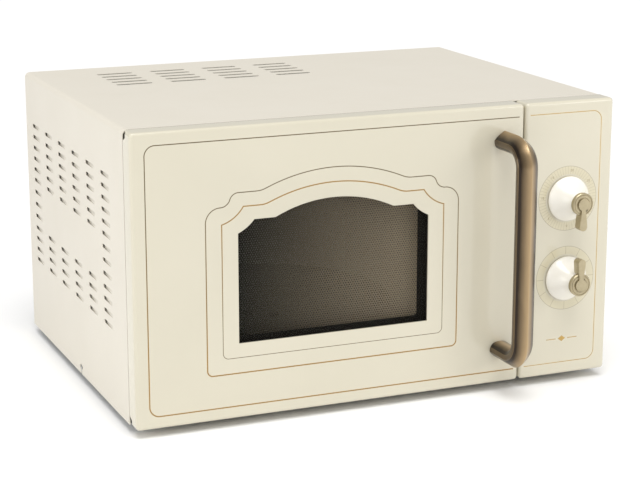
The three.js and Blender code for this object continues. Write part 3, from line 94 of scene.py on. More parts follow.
def take(piece):
    """Selects one piece alone."""
    let_go()
    piece.select_set(True)
    bpy.context.view_layer.objects.active = piece


def block(name, low, high):
    """A block between two corners."""
    let_go()
    low, high = Vector(low), Vector(high)
    bpy.ops.mesh.primitive_cube_add(size=1, location=(low + high) / 2, scale=high - low)
    bpy.ops.object.transform_apply(location=True, rotation=True, scale=True)
    return named(name)


def pick(piece, kind, chosen):
    """Opens a piece for editing with only the corners, edges or faces that chosen accepts."""
    put_down()
    bpy.context.view_layer.objects.active = piece
    bpy.ops.object.mode_set(mode="EDIT")
    bpy.ops.mesh.select_mode(type=kind)
    bpy.ops.mesh.select_all(action="DESELECT")
    bpy.ops.object.mode_set(mode="OBJECT")
    mesh = piece.data
    if kind == "VERT":
        for corner in mesh.vertices:
            corner.select = chosen(corner.co)
    elif kind == "EDGE":
        for edge in mesh.edges:
            edge.select = chosen(*(mesh.vertices[i].co for i in edge.vertices))
    else:
        for face in mesh.polygons:
            face.select = chosen(face.center, face.normal)
    bpy.ops.object.mode_set(mode="EDIT")


def modify(piece, kind, **settings):
    """Applies one modifier to a piece."""
    put_down()
    bpy.context.view_layer.objects.active = piece
    step = piece.modifiers.new(kind, kind)
    for key, value in settings.items():
        setattr(step, key, value)
    bpy.ops.object.modifier_apply(modifier=step.name)


def copied(piece, step, name="copy"):
    """A copy with a mesh of its own, moved by step."""
    twin = piece.copy()
    twin.data = piece.data.copy()
    twin.name = twin.data.name = name
    bpy.context.collection.objects.link(twin)
    twin.data.transform(Matrix.Translation(step))
    return twin


def welded(pieces, name):
    """Several pieces joined into one mesh."""
    take(pieces[0])
    for piece in pieces[1:]:
        piece.select_set(True)
    bpy.ops.object.join()
    return named(name)


def carve(piece, cutter, operation="DIFFERENCE"):
    """Cuts one piece with another, or joins them, and the other is used up."""
    modify(piece, "BOOLEAN", object=cutter, operation=operation, solver="EXACT")
    bpy.data.objects.remove(cutter)


def smooth(piece, degrees):
    """Shades a piece smooth, but for edges sharper than that."""
    take(piece)
    bpy.ops.object.shade_smooth_by_angle(angle=math.radians(degrees))


low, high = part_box("outer_cover")
sheet = 0.8 * mm
hem = 12 * mm
fold = 5 * mm
cover = block("cover", low, high)
pick(cover, "EDGE", lambda a, b: near(a.z, high.z) and near(b.z, high.z) and abs(a.y - b.y) > hem)
bpy.ops.mesh.bevel(offset=fold, segments=8, affect="EDGES")
pick(cover, "FACE", lambda c, n: n.y < -0.9 or n.z < -0.9)
bpy.ops.mesh.delete(type="FACE")
pick(cover, "FACE", lambda c, n: n.y > 0.9)
bpy.ops.mesh.inset(thickness=hem)
bpy.ops.mesh.delete(type="FACE")
pick(cover, "FACE", lambda c, n: n.y > 0.9 and c.z < low.z + hem)
bpy.ops.mesh.delete(type="FACE")
pick(cover, "VERT", lambda v: near(v.y, high.y) and near(v.z, low.z + hem))
bpy.ops.transform.translate(value=(0, 0, -hem))
modify(cover, "SOLIDIFY", thickness=sheet, offset=-1)

vent_length, vent_height = 26 * mm, 3.6 * mm


def vent(name, x0, x1, y, z, length, height):
    """A flat bar with round ends, as long and high as one vent in a side."""
    bar = block(name, (x0, y - length / 2, z - height / 2), (x1, y + length / 2, z + height / 2))
    pick(bar, "EDGE", lambda a, b: near(a.y, b.y) and near(a.z, b.z))
    bpy.ops.mesh.bevel(offset=0.49 * height, segments=4, affect="EDGES")
    return put_down(bar)


row_pitch, middle_pitch, column_pitch = 10.6 * mm, 11.9 * mm, 46.6 * mm
rows = [high.z - 48 * mm]
for pitch in [row_pitch] * 5 + [middle_pitch] * 4 + [row_pitch] * 3:
    rows.append(rows[-1] - pitch)
columns = [low.y + 55 * mm + i * column_pitch for i in range(6)]
open_rows, end_columns = rows[6:9], (columns[0], columns[-1])
left_places = [(y, z) for z in rows for y in columns if z not in open_rows or y in end_columns]
right_places = [(y, z) for z in rows[-4:] for y in columns[3:]]

cutters, tongues = [], []
for side, places, turn in ((low.x, left_places, 1), (high.x, right_places, -1)):
    cutter = vent("cutter", side - 2 * mm, side + 2 * mm, 0, 0, vent_length, vent_height)
    skin = sorted((side, side + turn * 0.6 * mm))
    tongue = vent("tongue", skin[0], skin[1], mm, 0.5 * mm, vent_length + 2 * mm, vent_height + mm)
    pick(tongue, "FACE", lambda c, n: True)
    leans = (("Z", 4, (side, -vent_length / 2, 0)), ("Y", -15, (side, 0, -vent_height / 2)))
    for axis, angle, corner in leans:
        bpy.ops.transform.rotate(value=math.radians(angle) * turn, orient_axis=axis, center_override=corner)
    put_down()
    cutters += [copied(cutter, (0, y, z)) for y, z in places]
    tongues += [copied(tongue, (0, y, z)) for y, z in places]
    bpy.data.objects.remove(cutter)
    bpy.data.objects.remove(tongue)

slot_half, slot_width, slot_round = 17.7 * mm, 5.6 * mm, 2.7 * mm
group_pitch, slot_pitch = 53.3 * mm, 16.2 * mm
for group in range(4):
    x = low.x + 78 * mm + group_pitch * group
    for row in range(5):
        y = high.y - 42 * mm - slot_pitch * row
        slot = block(
            "slot",
            (x - slot_half, y - slot_width / 2, high.z - 3 * mm),
            (x + slot_half, y + slot_width / 2, high.z + mm),
        )
        pick(slot, "EDGE", lambda a, b: near(a.x, b.x) and near(a.y, b.y))
        bpy.ops.mesh.bevel(offset=slot_round, segments=4, affect="EDGES")
        cutters.append(put_down(slot))
carve(cover, welded(cutters, "vent_cutter"))

notch_y = low.y + 150 * mm
stem, crossbar = (1.6, -1, 9), (4.2, 5, 8)
for side in (low.x, high.x):
    for half, bottom, top in (stem, crossbar):
        cutter = block(
            "notch",
            (side - 2 * mm, notch_y - half * mm, low.z + bottom * mm),
            (side + 2 * mm, notch_y + half * mm, low.z + top * mm),
        )
        carve(cover, cutter)
cover = welded([cover, *tongues], "cover_shell")
smooth(cover, 35)


class Wire:
    """A socket of a material's nodes, so that a pattern is written as arithmetic."""

    def __init__(self, tree, socket):
        self.tree = tree
        self.socket = socket

    def node(self, kind, inputs=None, output=0, **settings):
        """A new node: its settings first, then the values or links of its sockets."""
        made = self.tree.nodes.new("ShaderNode" + kind)
        for key, value in settings.items():
            setattr(made, key, value)
        for key, value in (inputs or {}).items():
            if isinstance(value, Wire):
                self.tree.links.new(value.socket, made.inputs[key])
            else:
                made.inputs[key].default_value = value
        return Wire(self.tree, made.outputs[output])

    def worked(self, operation, *others, clamp=False):
        return self.node("Math", dict(enumerate((self, *others))), operation=operation, use_clamp=clamp)

    def __add__(self, other):
        return self.worked("ADD", other)

    def __radd__(self, other):
        return self.worked("ADD", other)

    def __sub__(self, other):
        return self.worked("SUBTRACT", other)

    def __rsub__(self, other):
        return (self * -1.0) + other

    def __mul__(self, other):
        return self.worked("MULTIPLY", other)

    def __rmul__(self, other):
        return self.worked("MULTIPLY", other)

    def __truediv__(self, other):
        return self.worked("DIVIDE", other)

    def __pow__(self, other):
        return self.worked("POWER", other)

    def __abs__(self):
        return self.worked("ABSOLUTE")

    def larger(self, other):
        return self.worked("MAXIMUM", other)

    def smaller(self, other):
        return self.worked("MINIMUM", other)

    def held(self):
        """Kept between 0 and 1."""
        return self.worked("ADD", 0.0, clamp=True)

    def axes(self):
        """The three parts of a place."""
        return [self.node("SeparateXYZ", {0: self}, output=i) for i in range(3)]

    def mottle(self, size, detail=2.0, stretch=None):
        """A soft random pattern with patches of about that size."""
        place = self.node("Mapping", {"Vector": self, "Scale": stretch}) if stretch else self
        return place.node("TexNoise", {"Vector": place, "Scale": 1 / size, "Detail": detail})

    def between(self, first, second):
        """From the first colour to the second as this goes from 0 to 1."""
        return self.node("Mix", {0: self, 6: first, 7: second}, output=2, data_type="RGBA")

    def above(self, level):
        """1 where this is above the level and 0 elsewhere."""
        return self.worked("GREATER_THAN", level)

    def relief(self, depth):
        """Surface relief of that depth."""
        return self.node("Bump", {"Height": self, "Distance": depth})

    def feeds(self, shader, socket):
        self.tree.links.new(self.socket, shader.inputs[socket])


def colour(red, green, blue):
    """A colour as a paint chart gives it, 0 to 255, for the shader."""
    parts = [v / 255 for v in (red, green, blue)]
    linear = [v / 12.92 if v <= 0.04045 else ((v + 0.055) / 1.055) ** 2.4 for v in parts]
    return (*linear, 1.0)


def finish(name, **fixed):
    """A new material: it, its shader with the fixed values set, and the place on the piece."""
    made = bpy.data.materials.new(name)
    made.use_nodes = True
    tree = made.node_tree
    shader = tree.nodes["Principled BSDF"]
    for socket, value in fixed.items():
        shader.inputs[socket.replace("_", " ")].default_value = value
    where = tree.nodes.new("ShaderNodeTexCoord")
    return made, shader, Wire(tree, where.outputs["Object"])


def grained(name, first, second, patch, grain, depth, rough, stretch=None, **fixed):
    """A finish with two close tones in patches, gloss that varies with them, and a fine grain."""
    made, shader, place = finish(name, **fixed)
    patches = place.mottle(patch, 3.0)
    patches.between(colour(*first), colour(*second)).feeds(shader, "Base Color")
    (patches * (rough[1] - rough[0]) + rough[0]).feeds(shader, "Roughness")
    place.mottle(grain, 2.0, stretch).relief(depth).feeds(shader, "Normal")
    return made


def fitted(piece, look, slot, body, *nodes):
    """Gives a finished piece its material and the body it moves with, and hides the CAD nodes it replaces;
    slot is not used.
    """
    piece.data.materials.clear()
    piece.data.materials.append(look)
    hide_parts(*nodes)
    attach(piece, body)
    return piece


def coated(look, *nodes):
    """Gives CAD nodes whose shape is already right their material."""
    for name in nodes:
        for holder in frame["nodes"][name].material_slots:
            holder.material = look


cover_paint = grained(
    "cover_paint", (224, 218, 205), (219, 213, 199), 60 * mm, 0.9 * mm, 0.012 * mm, (0.36, 0.44)
)
fitted(cover, cover_paint, "cover_paint", "body", "outer_cover")

# ---------------------------------------------------------------- base plate and back plate
# Galvanised steel: the floor of the machine with turned-up edges, and the back with the fan's
# intake slots. The spangle of the zinc shows as flat crystals a few millimetres across.
zinc, shader, place = finish("zinc", Metallic=0.85)
spangle = {"Vector": place, "Scale": 1 / (7 * mm)}
tone = place.node("TexVoronoi", spangle, output=1).axes()[0]
tone.between(colour(168, 171, 172), colour(196, 198, 198)).feeds(shader, "Base Color")
(tone * 0.16 + 0.34).feeds(shader, "Roughness")
crystals = place.node("TexVoronoi", spangle) * 0.4 + place.mottle(0.5 * mm)
crystals.relief(0.01 * mm).feeds(shader, "Normal")
coated(zinc, "base_plate", "back_plate")

# ---------------------------------------------------------------- feet
# Four black moulded rubber feet, tapered and hollowed underneath, each with a stem that is pressed
# up through the base plate.
def traced(name, points):
    """A line drawn from point to point, left open for editing."""
    let_go()
    points = [Vector(point) for point in points]
    bpy.ops.mesh.primitive_plane_add(size=mm, location=points[0])
    piece = named(name)
    bpy.ops.object.transform_apply(location=True, rotation=True, scale=True)
    bpy.ops.object.mode_set(mode="EDIT")
    bpy.ops.mesh.select_mode(type="VERT")
    bpy.ops.mesh.select_all(action="SELECT")
    bpy.ops.mesh.merge(type="CENTER")
    for before, after in zip(points, points[1:]):
        bpy.ops.mesh.extrude_vertices_move(TRANSFORM_OT_translate={"value": after - before})
    bpy.ops.mesh.select_all(action="SELECT")
    return piece


def sealed():
    """Welds the seams of the piece being edited and turns its faces outwards."""
    bpy.ops.mesh.select_all(action="SELECT")
    bpy.ops.mesh.remove_doubles(threshold=0.005 * mm)
    bpy.ops.mesh.normals_make_consistent(inside=False)


def turned(name, profile, centre, axis, steps):
    """A round piece: a line of (radius, distance along the axis) points spun right round."""
    centre, along = Vector(centre), Vector(axis)
    across = Vector((1, 0, 0)) if abs(along.x) < 0.5 else Vector((0, 1, 0))
    piece = traced(name, [centre + across * radius + along * distance for radius, distance in profile])
    bpy.ops.mesh.spin(steps=steps, angle=2 * math.pi, center=centre, axis=axis)
    sealed()
    return put_down(piece)


rubber = grained("rubber", (38, 38, 37), (48, 47, 45), 9 * mm, 0.4 * mm, 0.03 * mm, (0.6, 0.8))
for corner in ("front_left", "front_right", "rear_left", "rear_right"):
    low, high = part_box(f"foot_{corner}")
    middle = ((low.x + high.x) / 2, (low.y + high.y) / 2, 0)
    profile = [(0, 0.6), (3, 0.6), (3.4, 0), (7.4, 0), (8, 0.5), (9.2, 5.2), (10, 5.6),
               (10, 7.2), (9.6, 7.6), (3, 7.6), (3, 12.2), (2.3, 13), (0, 13)]
    foot = turned(f"foot_pad_{corner}", [(r * mm, z * mm) for r, z in profile], middle, (0, 0, 1), 48)
    smooth(foot, 40)
    fitted(foot, rubber, "black_rubber", "body", f"foot_{corner}")

# ---------------------------------------------------------------- cord bush and rear screws
# A moulded black bush where the mains lead comes in, and four zinc plated screws with crossed
# slots that hold the hem of the cover to the back plate.
low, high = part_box("cord_gland")
middle = ((low.x + high.x) / 2, low.y, (low.z + high.z) / 2)
depth = high.y - low.y
bush = turned(
    "cord_bush",
    [(4 * mm, 0), (6.6 * mm, 0), (7 * mm, 0.4 * mm), (7 * mm, depth - 2.1 * mm),
     (9.7 * mm, depth - 2.1 * mm), (10 * mm, depth - 1.8 * mm), (10 * mm, depth - 0.7 * mm),
     (9.2 * mm, depth), (4.8 * mm, depth), (4 * mm, depth - 0.8 * mm), (4 * mm, 0)],
    middle, (0, 1, 0), 48,
)
smooth(bush, 40)
fitted(bush, rubber, "black_rubber", "body", "cord_gland")

plated = grained("plated_steel", (186, 188, 188), (204, 205, 203), 6 * mm, 0.15 * mm, 0.004 * mm,
                 (0.22, 0.36), Metallic=1.0)
for corner in ("upper_left", "upper_right", "lower_left", "lower_right"):
    low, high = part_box(f"rear_screw_{corner}")
    x, z = (low.x + high.x) / 2, (low.z + high.z) / 2
    screw = turned(
        f"cover_screw_{corner}",
        [(0, 0), (1.3 * mm, 0), (1.9 * mm, 0.8 * mm), (1.9 * mm, 6 * mm), (4 * mm, 6 * mm),
         (4 * mm, 6.7 * mm), (3.4 * mm, 7.5 * mm), (2 * mm, 7.95 * mm), (0, 8 * mm)],
        (x, low.y, z), (0, 1, 0), 32,
    )
    for wide, tall in ((2.2 * mm, 0.45 * mm), (0.45 * mm, 2.2 * mm)):
        driver = block("driver", (x - wide, high.y - 1.2 * mm, z - tall), (x + wide, high.y + mm, z + tall))
        carve(screw, driver)
    smooth(screw, 40)
    fitted(screw, plated, "zinc_steel", "body", f"rear_screw_{corner}")

# ---------------------------------------------------------------- front frame and cavity
# The steel face behind the door and the welded cavity, both coated in a pale speckled enamel.
# A sheet of mica covers the opening that the microwaves come through.
enamel, shader, place = finish("cavity_enamel", Coat_Weight=0.25, Coat_Roughness=0.1)
flecks = ((place.mottle(0.8 * mm, 1.0) - 0.62) * 12.0).held()
flecks.between(colour(214, 212, 205), colour(168, 166, 160)).feeds(shader, "Base Color")
(place.mottle(30 * mm) * 0.12 + 0.28).feeds(shader, "Roughness")
place.mottle(1.4 * mm).relief(0.02 * mm).feeds(shader, "Normal")
coated(enamel, "front_frame", "oven_cavity")

mica, shader, place = finish("mica", Coat_Weight=0.3)
flakes = place.node("TexVoronoi", {"Vector": place, "Scale": 1 / (5 * mm)}, output=1).axes()[0]
flakes.between(colour(160, 136, 98), colour(196, 176, 138)).feeds(shader, "Base Color")
(flakes * 0.3 + 0.35).feeds(shader, "Roughness")
(flakes + place.mottle(0.8 * mm)).relief(0.05 * mm).feeds(shader, "Normal")
coated(mica, "waveguide_cover")

# ---------------------------------------------------------------- machine bay
# Behind the control panel and hidden by the cover: waveguide, magnetron, transformer, capacitor,
# fan, lamp and filter board, each in the finish of its own trade.
aluminium = grained("aluminium", (186, 188, 190), (206, 207, 208), 8 * mm, 0.4 * mm, 0.01 * mm,
                    (0.3, 0.45), Metallic=1.0)
nylon = grained("nylon", (226, 223, 212), (214, 210, 197), 14 * mm, 0.5 * mm, 0.015 * mm, (0.42, 0.56))
dark_plastic = grained("dark_plastic", (34, 33, 31), (44, 42, 39), 25 * mm, 0.6 * mm, 0.02 * mm,
                       (0.34, 0.48))


def layered(name, first, second, pitch, axis, **fixed):
    """Fine parallel lines across one axis: stacked laminations or wound wire."""
    made, shader, place = finish(name, **fixed)
    inputs = {"Vector": place, "Scale": 1 / (pitch * 20), "Distortion": 0.4}
    waves = place.node("TexWave", inputs, output=1, bands_direction=axis)
    waves.between(colour(*first), colour(*second)).feeds(shader, "Base Color")
    waves.relief(0.2 * mm).feeds(shader, "Normal")
    return made


coated(zinc, "waveguide", "magnetron_yoke", "latch_bracket")
coated(aluminium, "magnetron_anode", "capacitor")
steel_leaves = layered("laminations", (92, 84, 74), (128, 118, 104), 0.6 * mm, "Y",
                       Metallic=0.6, Roughness=0.45)
coated(steel_leaves, "transformer_core")
windings = layered("windings", (150, 82, 40), (92, 46, 22), 1.1 * mm, "Z", Metallic=0.7, Roughness=0.35)
coated(windings, "transformer_primary_coil", "transformer_secondary_coil")
board = grained("phenolic_board", (138, 104, 58), (158, 124, 72), 6 * mm, 0.5 * mm, 0.02 * mm, (0.5, 0.65))
coated(board, "filter_board")
coated(dark_plastic, "fan_shroud", "fan_motor")
coated(nylon, "fan_rotor", "lamp_holder")

lamp_glass, shader, place = finish("lamp_glass", Roughness=0.05, Alpha=0.45)
place.mottle(12 * mm).between(colour(235, 232, 220), colour(246, 244, 236)).feeds(shader, "Base Color")
place.mottle(3 * mm).relief(0.02 * mm).feeds(shader, "Normal")
coated(lamp_glass, "cavity_lamp")

# ---------------------------------------------------------------- turntable drive, ring and rollers
# A geared motor under the cavity floor turns a moulded three-armed coupler. A nylon ring with
# three small wheels runs on the floor round it and carries the glass.
coated(zinc, "turntable_motor")
coated(nylon, "turntable_coupler", "roller_ring", "roller_1", "roller_2", "roller_3")

# ---------------------------------------------------------------- glass turntable
# A pressed glass plate with a raised rim and concentric steps underneath, slightly green at the
# edges where the light runs through it.
low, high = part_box("glass_turntable")
tray_x, tray_y = (low.x + high.x) / 2, (low.y + high.y) / 2
tray_glass, shader, place = finish("turntable_glass", Roughness=0.04, Alpha=0.3, Coat_Weight=0.6)
x, y, z = place.axes()
reach = ((x - tray_x) ** 2 + (y - tray_y) ** 2) ** 0.5
rings = (reach * (2 * math.pi / (9 * mm))).worked("SINE")
place.mottle(25 * mm).between(colour(196, 212, 204), colour(214, 226, 220)).feeds(shader, "Base Color")
(rings * 0.5 + place.mottle(4 * mm) * 0.3).relief(0.15 * mm).feeds(shader, "Normal")
coated(tray_glass, "glass_turntable")

# ---------------------------------------------------------------- door switches
# Three small snap switches in dark plastic, screwed to a bracket beside the cavity. The hooks of
# the latch press their red nylon plungers.
coated(dark_plastic, "primary_switch", "secondary_switch", "monitor_switch")
red_nylon = grained("plunger_red", (150, 40, 30), (170, 52, 38), 4 * mm, 0.3 * mm, 0.01 * mm, (0.35, 0.5))
coated(red_nylon, "primary_switch_plunger", "secondary_switch_plunger", "monitor_switch_plunger")

# ---------------------------------------------------------------- door panel
# The front of the door is a glossy cream moulding, open behind, with softly rounded front edges
# and an arched window. Three fine gold lines are printed round the window and the edge.
def drawn(name, points, push):
    """A flat outline drawn point by point, then pushed out into a solid."""
    piece = traced(name, points)
    bpy.ops.mesh.edge_face_add()
    bpy.ops.mesh.extrude_region_move(TRANSFORM_OT_translate={"value": push})
    bpy.ops.mesh.select_all(action="SELECT")
    bpy.ops.mesh.normals_make_consistent(inside=False)
    return put_down(piece)


def moulding(name, low, high):
    """A tray-shaped moulding, open behind, with rounded corners and a softly rounded front."""
    tray = block(name, low, high)
    pick(tray, "EDGE", lambda a, b: near(a.x, b.x) and near(a.z, b.z))
    bpy.ops.mesh.bevel(offset=3.6 * mm, segments=6, affect="EDGES")
    pick(tray, "EDGE", lambda a, b: near(a.y, low.y) and near(b.y, low.y))
    bpy.ops.mesh.bevel(offset=3 * mm, segments=8, affect="EDGES")
    pick(tray, "FACE", lambda c, n: n.y > 0.9)
    bpy.ops.mesh.delete(type="FACE")
    modify(tray, "SOLIDIFY", thickness=2 * mm, offset=-1, use_even_offset=True)
    return tray


low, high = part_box("door_panel")
door_mid = (low.x + high.x) / 2
face = low.y
window_low, window_side, window_flat, window_peak = 74.4 * mm, 170.5 * mm, 181.6 * mm, 194.3 * mm


def arc(x, z, radius, first, last, count):
    """Points along an arc, angles in degrees."""
    turns = [math.radians(first + (last - first) * i / count) for i in range(count + 1)]
    return [(x + radius * math.cos(a), z + radius * math.sin(a)) for a in turns]


def window(grow):
    """Outline of the window, larger all round by grow: right half first, then its mirror."""
    radius = 124 * mm + grow
    heart = window_peak + grow - radius
    flat = window_flat + grow
    half = 88.3 * mm + grow
    edge = math.degrees(math.asin((flat - heart) / radius))
    right = [(half, window_low - grow)]
    right += arc(104.2 * mm, 207.1 * mm, 39.9 * mm - grow, -113.5, -140, 6)
    right[1] = (half, window_side + grow * 0.4)
    right[-1] = (right[-1][0], flat)
    right += arc(0, heart, radius, edge, 90, 18)
    left = [(-x, z) for x, z in reversed(right[:-1])]
    return [(door_mid + x, z) for x, z in right + left]


door = moulding("door_shell", low, high)
carve(door, drawn("window_cut", [(x, face - mm, z) for x, z in window(0)], (0, 5 * mm, 0)))


def on_window(v):
    """Whether a corner is on the front edge of the window."""
    return near(v.y, face) and abs(v.x - door_mid) < 90 * mm and 70 * mm < v.z < 200 * mm


pick(door, "EDGE", lambda a, b: on_window(a) and on_window(b))
bpy.ops.mesh.bevel(offset=0.35 * mm, segments=3, affect="EDGES")
hinge_notch = [(-6.5, -1), (1, -1), (1, 8), (-2, 8), (-6.5, 5.5)]
for z, up in ((low.z, 1), (high.z, -1)):
    outline = [(low.x - mm, high.y + y * mm, z + up * t * mm) for y, t in hinge_notch]
    carve(door, drawn("hinge_notch", outline, (3.2 * mm, 0, 0)))
smooth(door, 40)


def far(x, z, x0, z0):
    """Distance of a place from a point, across the front."""
    return ((x - x0) ** 2.0 + (z - z0) ** 2.0) ** 0.5


def rounded(x, z, box, radius):
    """How far a place is outside a rectangle with round corners: below nought inside it."""
    x0, x1, z0, z1 = box
    across = abs(x - (x0 + x1) / 2) - (x1 - x0) / 2 + radius
    up = abs(z - (z0 + z1) / 2) - (z1 - z0) / 2 + radius
    outside = (across.larger(0.0) ** 2.0 + up.larger(0.0) ** 2.0) ** 0.5
    return outside + across.larger(up).smaller(0.0) - radius


def line(distance, half):
    """A printed line along the edge of a shape: 1 on it and 0 off it."""
    return ((half - abs(distance)) / (0.15 * mm) + 0.5).held()


def cream(name):
    """Glossy cream plastic with the faintest waviness from the mould."""
    made, shader, place = finish(name, Coat_Weight=0.5, Coat_Roughness=0.06, IOR=1.5)
    ground = place.mottle(90 * mm).between(colour(210, 204, 184), colour(215, 209, 190))
    (place.mottle(40 * mm) * 0.05 + 0.2).feeds(shader, "Roughness")
    waviness = place.mottle(18 * mm) * 0.7 + place.mottle(0.7 * mm) * 0.02
    waviness.relief(0.05 * mm).feeds(shader, "Normal")
    return made, shader, place, ground


gold, olive = colour(160, 122, 50), colour(104, 88, 54)
door_paint, shader, place, ground = cream("cream_door")
x, y, z = place.axes()
front = (face + 0.4 * mm - y).above(0.0)
u = abs(x - door_mid)
height = ((z - 60 * mm) / (130 * mm)).held()
edge_line = rounded(x, z, (-214 * mm, 300 * mm, 19 * mm, 250.8 * mm), 9 * mm)
edge_line = line(edge_line, 0.55 * mm - height * (0.12 * mm)) * (130.5 * mm - x).above(0.0)

lower = rounded(u, z, (-117.1 * mm, 117.1 * mm, 48.3 * mm, 400 * mm), 5 * mm)
lower = lower.larger(rounded(u, z, (-117.1 * mm, 117.1 * mm, -200 * mm, 194 * mm), 13 * mm))
step = rounded(u, z, (-95.8 * mm, 95.8 * mm, 100 * mm, 205.6 * mm), 8 * mm)
fillet = (u - 103.9 * mm).larger(z - 200.1 * mm).larger(9 * mm - far(u, z, 103.9 * mm, 203 * mm))
fillet = fillet.larger(150 * mm - z)
crown = (far(u, z, 0.0, 62.4 * mm) - 158.1 * mm).larger(195 * mm - z)
shoulders = lower.smaller(step).smaller(fillet).worked("SMOOTH_MIN", crown, 3 * mm)
middle_line = line(shoulders, 0.55 * mm - height * (0.14 * mm))

inner = rounded(u, z, (-102.85 * mm, 102.85 * mm, 62 * mm, 400 * mm), 5 * mm).larger(z - 193.5 * mm)
inner = inner.larger(32.2 * mm - far(u, z, 110.9 * mm, 210.4 * mm))
inner = inner.worked("SMOOTH_MIN", (far(u, z, 0.0, 58.2 * mm) - 149.5 * mm).larger(185 * mm - z), 3 * mm)
inner_line = line(inner, height * (0.26 * mm) + 0.26 * mm)

thick = (edge_line.larger(middle_line) * (1 - height)).larger(inner_line * height)
lines = edge_line.larger(middle_line).larger(inner_line) * front
ink = thick.node("Mix", {0: thick, 6: olive, 7: gold}, output=2, data_type="RGBA")
lines.between(ground, ink).feeds(shader, "Base Color")
(lines * 0.5).feeds(shader, "Metallic")
fitted(door, door_paint, "cream_plastic", "door", "door_panel")

# ---------------------------------------------------------------- window
# A smoked pane set just behind the face of the door, with a lip behind the moulding. Some way
# behind it is the pierced steel screen, blackened round its edge and bare in the pierced middle.
# The bare middle is painted from dark at the left to pale at the right: painted light and reflection.
low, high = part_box("door_glass")
pane = drawn("smoked_pane", [(x, low.y, z) for x, z in window(-0.15 * mm)], (0, 2.4 * mm, 0))
lip = drawn("pane_lip", [(x, high.y - 1.8 * mm, z) for x, z in window(4.8 * mm)], (0, 1.8 * mm, 0))
carve(pane, lip, "UNION")
smooth(pane, 20)
smoked, shader, place = finish("smoked_pane", Roughness=0.04, Specular_IOR_Level=0.12)
place.mottle(60 * mm).between(colour(22, 20, 15), colour(28, 25, 19)).feeds(shader, "Base Color")
(place.mottle(60 * mm) * 0.04 + 0.26).feeds(shader, "Alpha")
place.mottle(30 * mm).relief(0.02 * mm).feeds(shader, "Normal")
fitted(pane, smoked, "smoked_pane", "door", "door_glass")

screen, shader, place = finish("pierced_screen", Metallic=0.25)
x, y, z = place.axes()
pitch = 2.3 * mm
column, row = (x - door_mid) / pitch, z / (pitch * 0.866)
line_of_holes = row.worked("FLOOR")
across = (column + line_of_holes * 0.5).worked("FRACT") - 0.5
up = (row.worked("FRACT") - 0.5) * 0.866
hole = ((0.36 - (across ** 2.0 + up ** 2.0) ** 0.5) * 14.0).held()
screen_field = (door_mid - 86 * mm, door_mid + 86 * mm, 75.5 * mm, 202 * mm)
pierced = ((0 - rounded(x, z, screen_field, 3 * mm)) / (0.3 * mm)).held()
# Painted light and reflection: the bare metal runs from dark at the left to pale at the right.
tone = ((x - door_mid) / (176 * mm) + 0.5).held() ** 1.2
metal_with_painted_light = tone.between(colour(42, 44, 33), colour(255, 234, 200))
pierced.between(colour(30, 29, 26), metal_with_painted_light).feeds(shader, "Base Color")
(1 - pierced * hole).feeds(shader, "Alpha")
(place.mottle(5 * mm) * 0.2 + 0.4).feeds(shader, "Roughness")
place.mottle(0.3 * mm).relief(0.01 * mm).feeds(shader, "Normal")
coated(screen, "door_screen")

# ---------------------------------------------------------------- inside of the door
# A black-coated steel frame, a black plastic cover over the choke, and a thin clear pane that
# keeps the screen clean.
def softened(node, name, width, segments=2):
    """A copy of a CAD node with its sharp edges rounded, as a moulding or a pressing has them."""
    piece = copied(frame["nodes"][node], (0, 0, 0), name)
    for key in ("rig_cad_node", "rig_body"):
        if key in piece:
            del piece[key]
    piece.parent = None
    pick(piece, "VERT", lambda v: True)
    bpy.ops.mesh.remove_doubles(threshold=0.01 * mm)
    bpy.ops.mesh.dissolve_limited(angle_limit=math.radians(1))
    limit = math.radians(30)
    modify(piece, "BEVEL", width=width, segments=segments, limit_method="ANGLE", angle_limit=limit)
    smooth(piece, 40)
    return piece


black_coat = grained("black_coat", (30, 30, 29), (38, 37, 35), 30 * mm, 0.5 * mm, 0.015 * mm, (0.35, 0.5))
coated(black_coat, "door_frame")
choke = softened("door_choke_cover", "choke_cover", 0.9 * mm, 3)
fitted(choke, dark_plastic, "dark_plastic", "door", "door_choke_cover")
clear, shader, place = finish("clear_pane", Roughness=0.03, Alpha=0.12)
place.mottle(60 * mm).between(colour(214, 222, 218), colour(222, 228, 224)).feeds(shader, "Base Color")
place.mottle(30 * mm).relief(0.02 * mm).feeds(shader, "Normal")
coated(clear, "door_inner_pane")

# ---------------------------------------------------------------- hinges and latch
# Pressed steel hinge plates with upright pins, and the white nylon bar whose two barbed hooks
# hold the door shut.
hinge_steel = grained("hinge_steel", (158, 160, 160), (178, 180, 179), 5 * mm, 0.3 * mm, 0.01 * mm,
                      (0.3, 0.45), Metallic=1.0)
coated(hinge_steel, "lower_hinge", "upper_hinge")
latch = softened("latch_bar", "latch_hooks", 0.4 * mm)
fitted(latch, nylon, "white_nylon", "latch", "latch_bar")

# ---------------------------------------------------------------- door handle
# A cast bow in antique bronze: one section with a ridge in front and a round back, swept down,
# along and back in to the door. Its colour darkens from tan at the ridge to dark at the sides, partly
# antique patina and partly painted shade, with thin painted highlights on the ridge and near the widest
# edges.
low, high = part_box("door_handle")
grip_x, root = (low.x + high.x) / 2, high.y
half, ridge, back = 10 * mm, 9 * mm, 8 * mm
upper, lower_leg = high.z - ridge, low.z + ridge
bend = 18 * mm
grip_y = low.y + ridge


def curve(start, a, b, end, count):
    """Points of a smooth curve from start to end, pulled towards a and b."""
    found = []
    for i in range(count):
        t = i / count
        w = ((1 - t) ** 3, 3 * t * (1 - t) ** 2, 3 * t * t * (1 - t), t ** 3)
        found.append(tuple(sum(k * p[j] for k, p in zip(w, (start, a, b, end))) for j in (0, 1)))
    return found


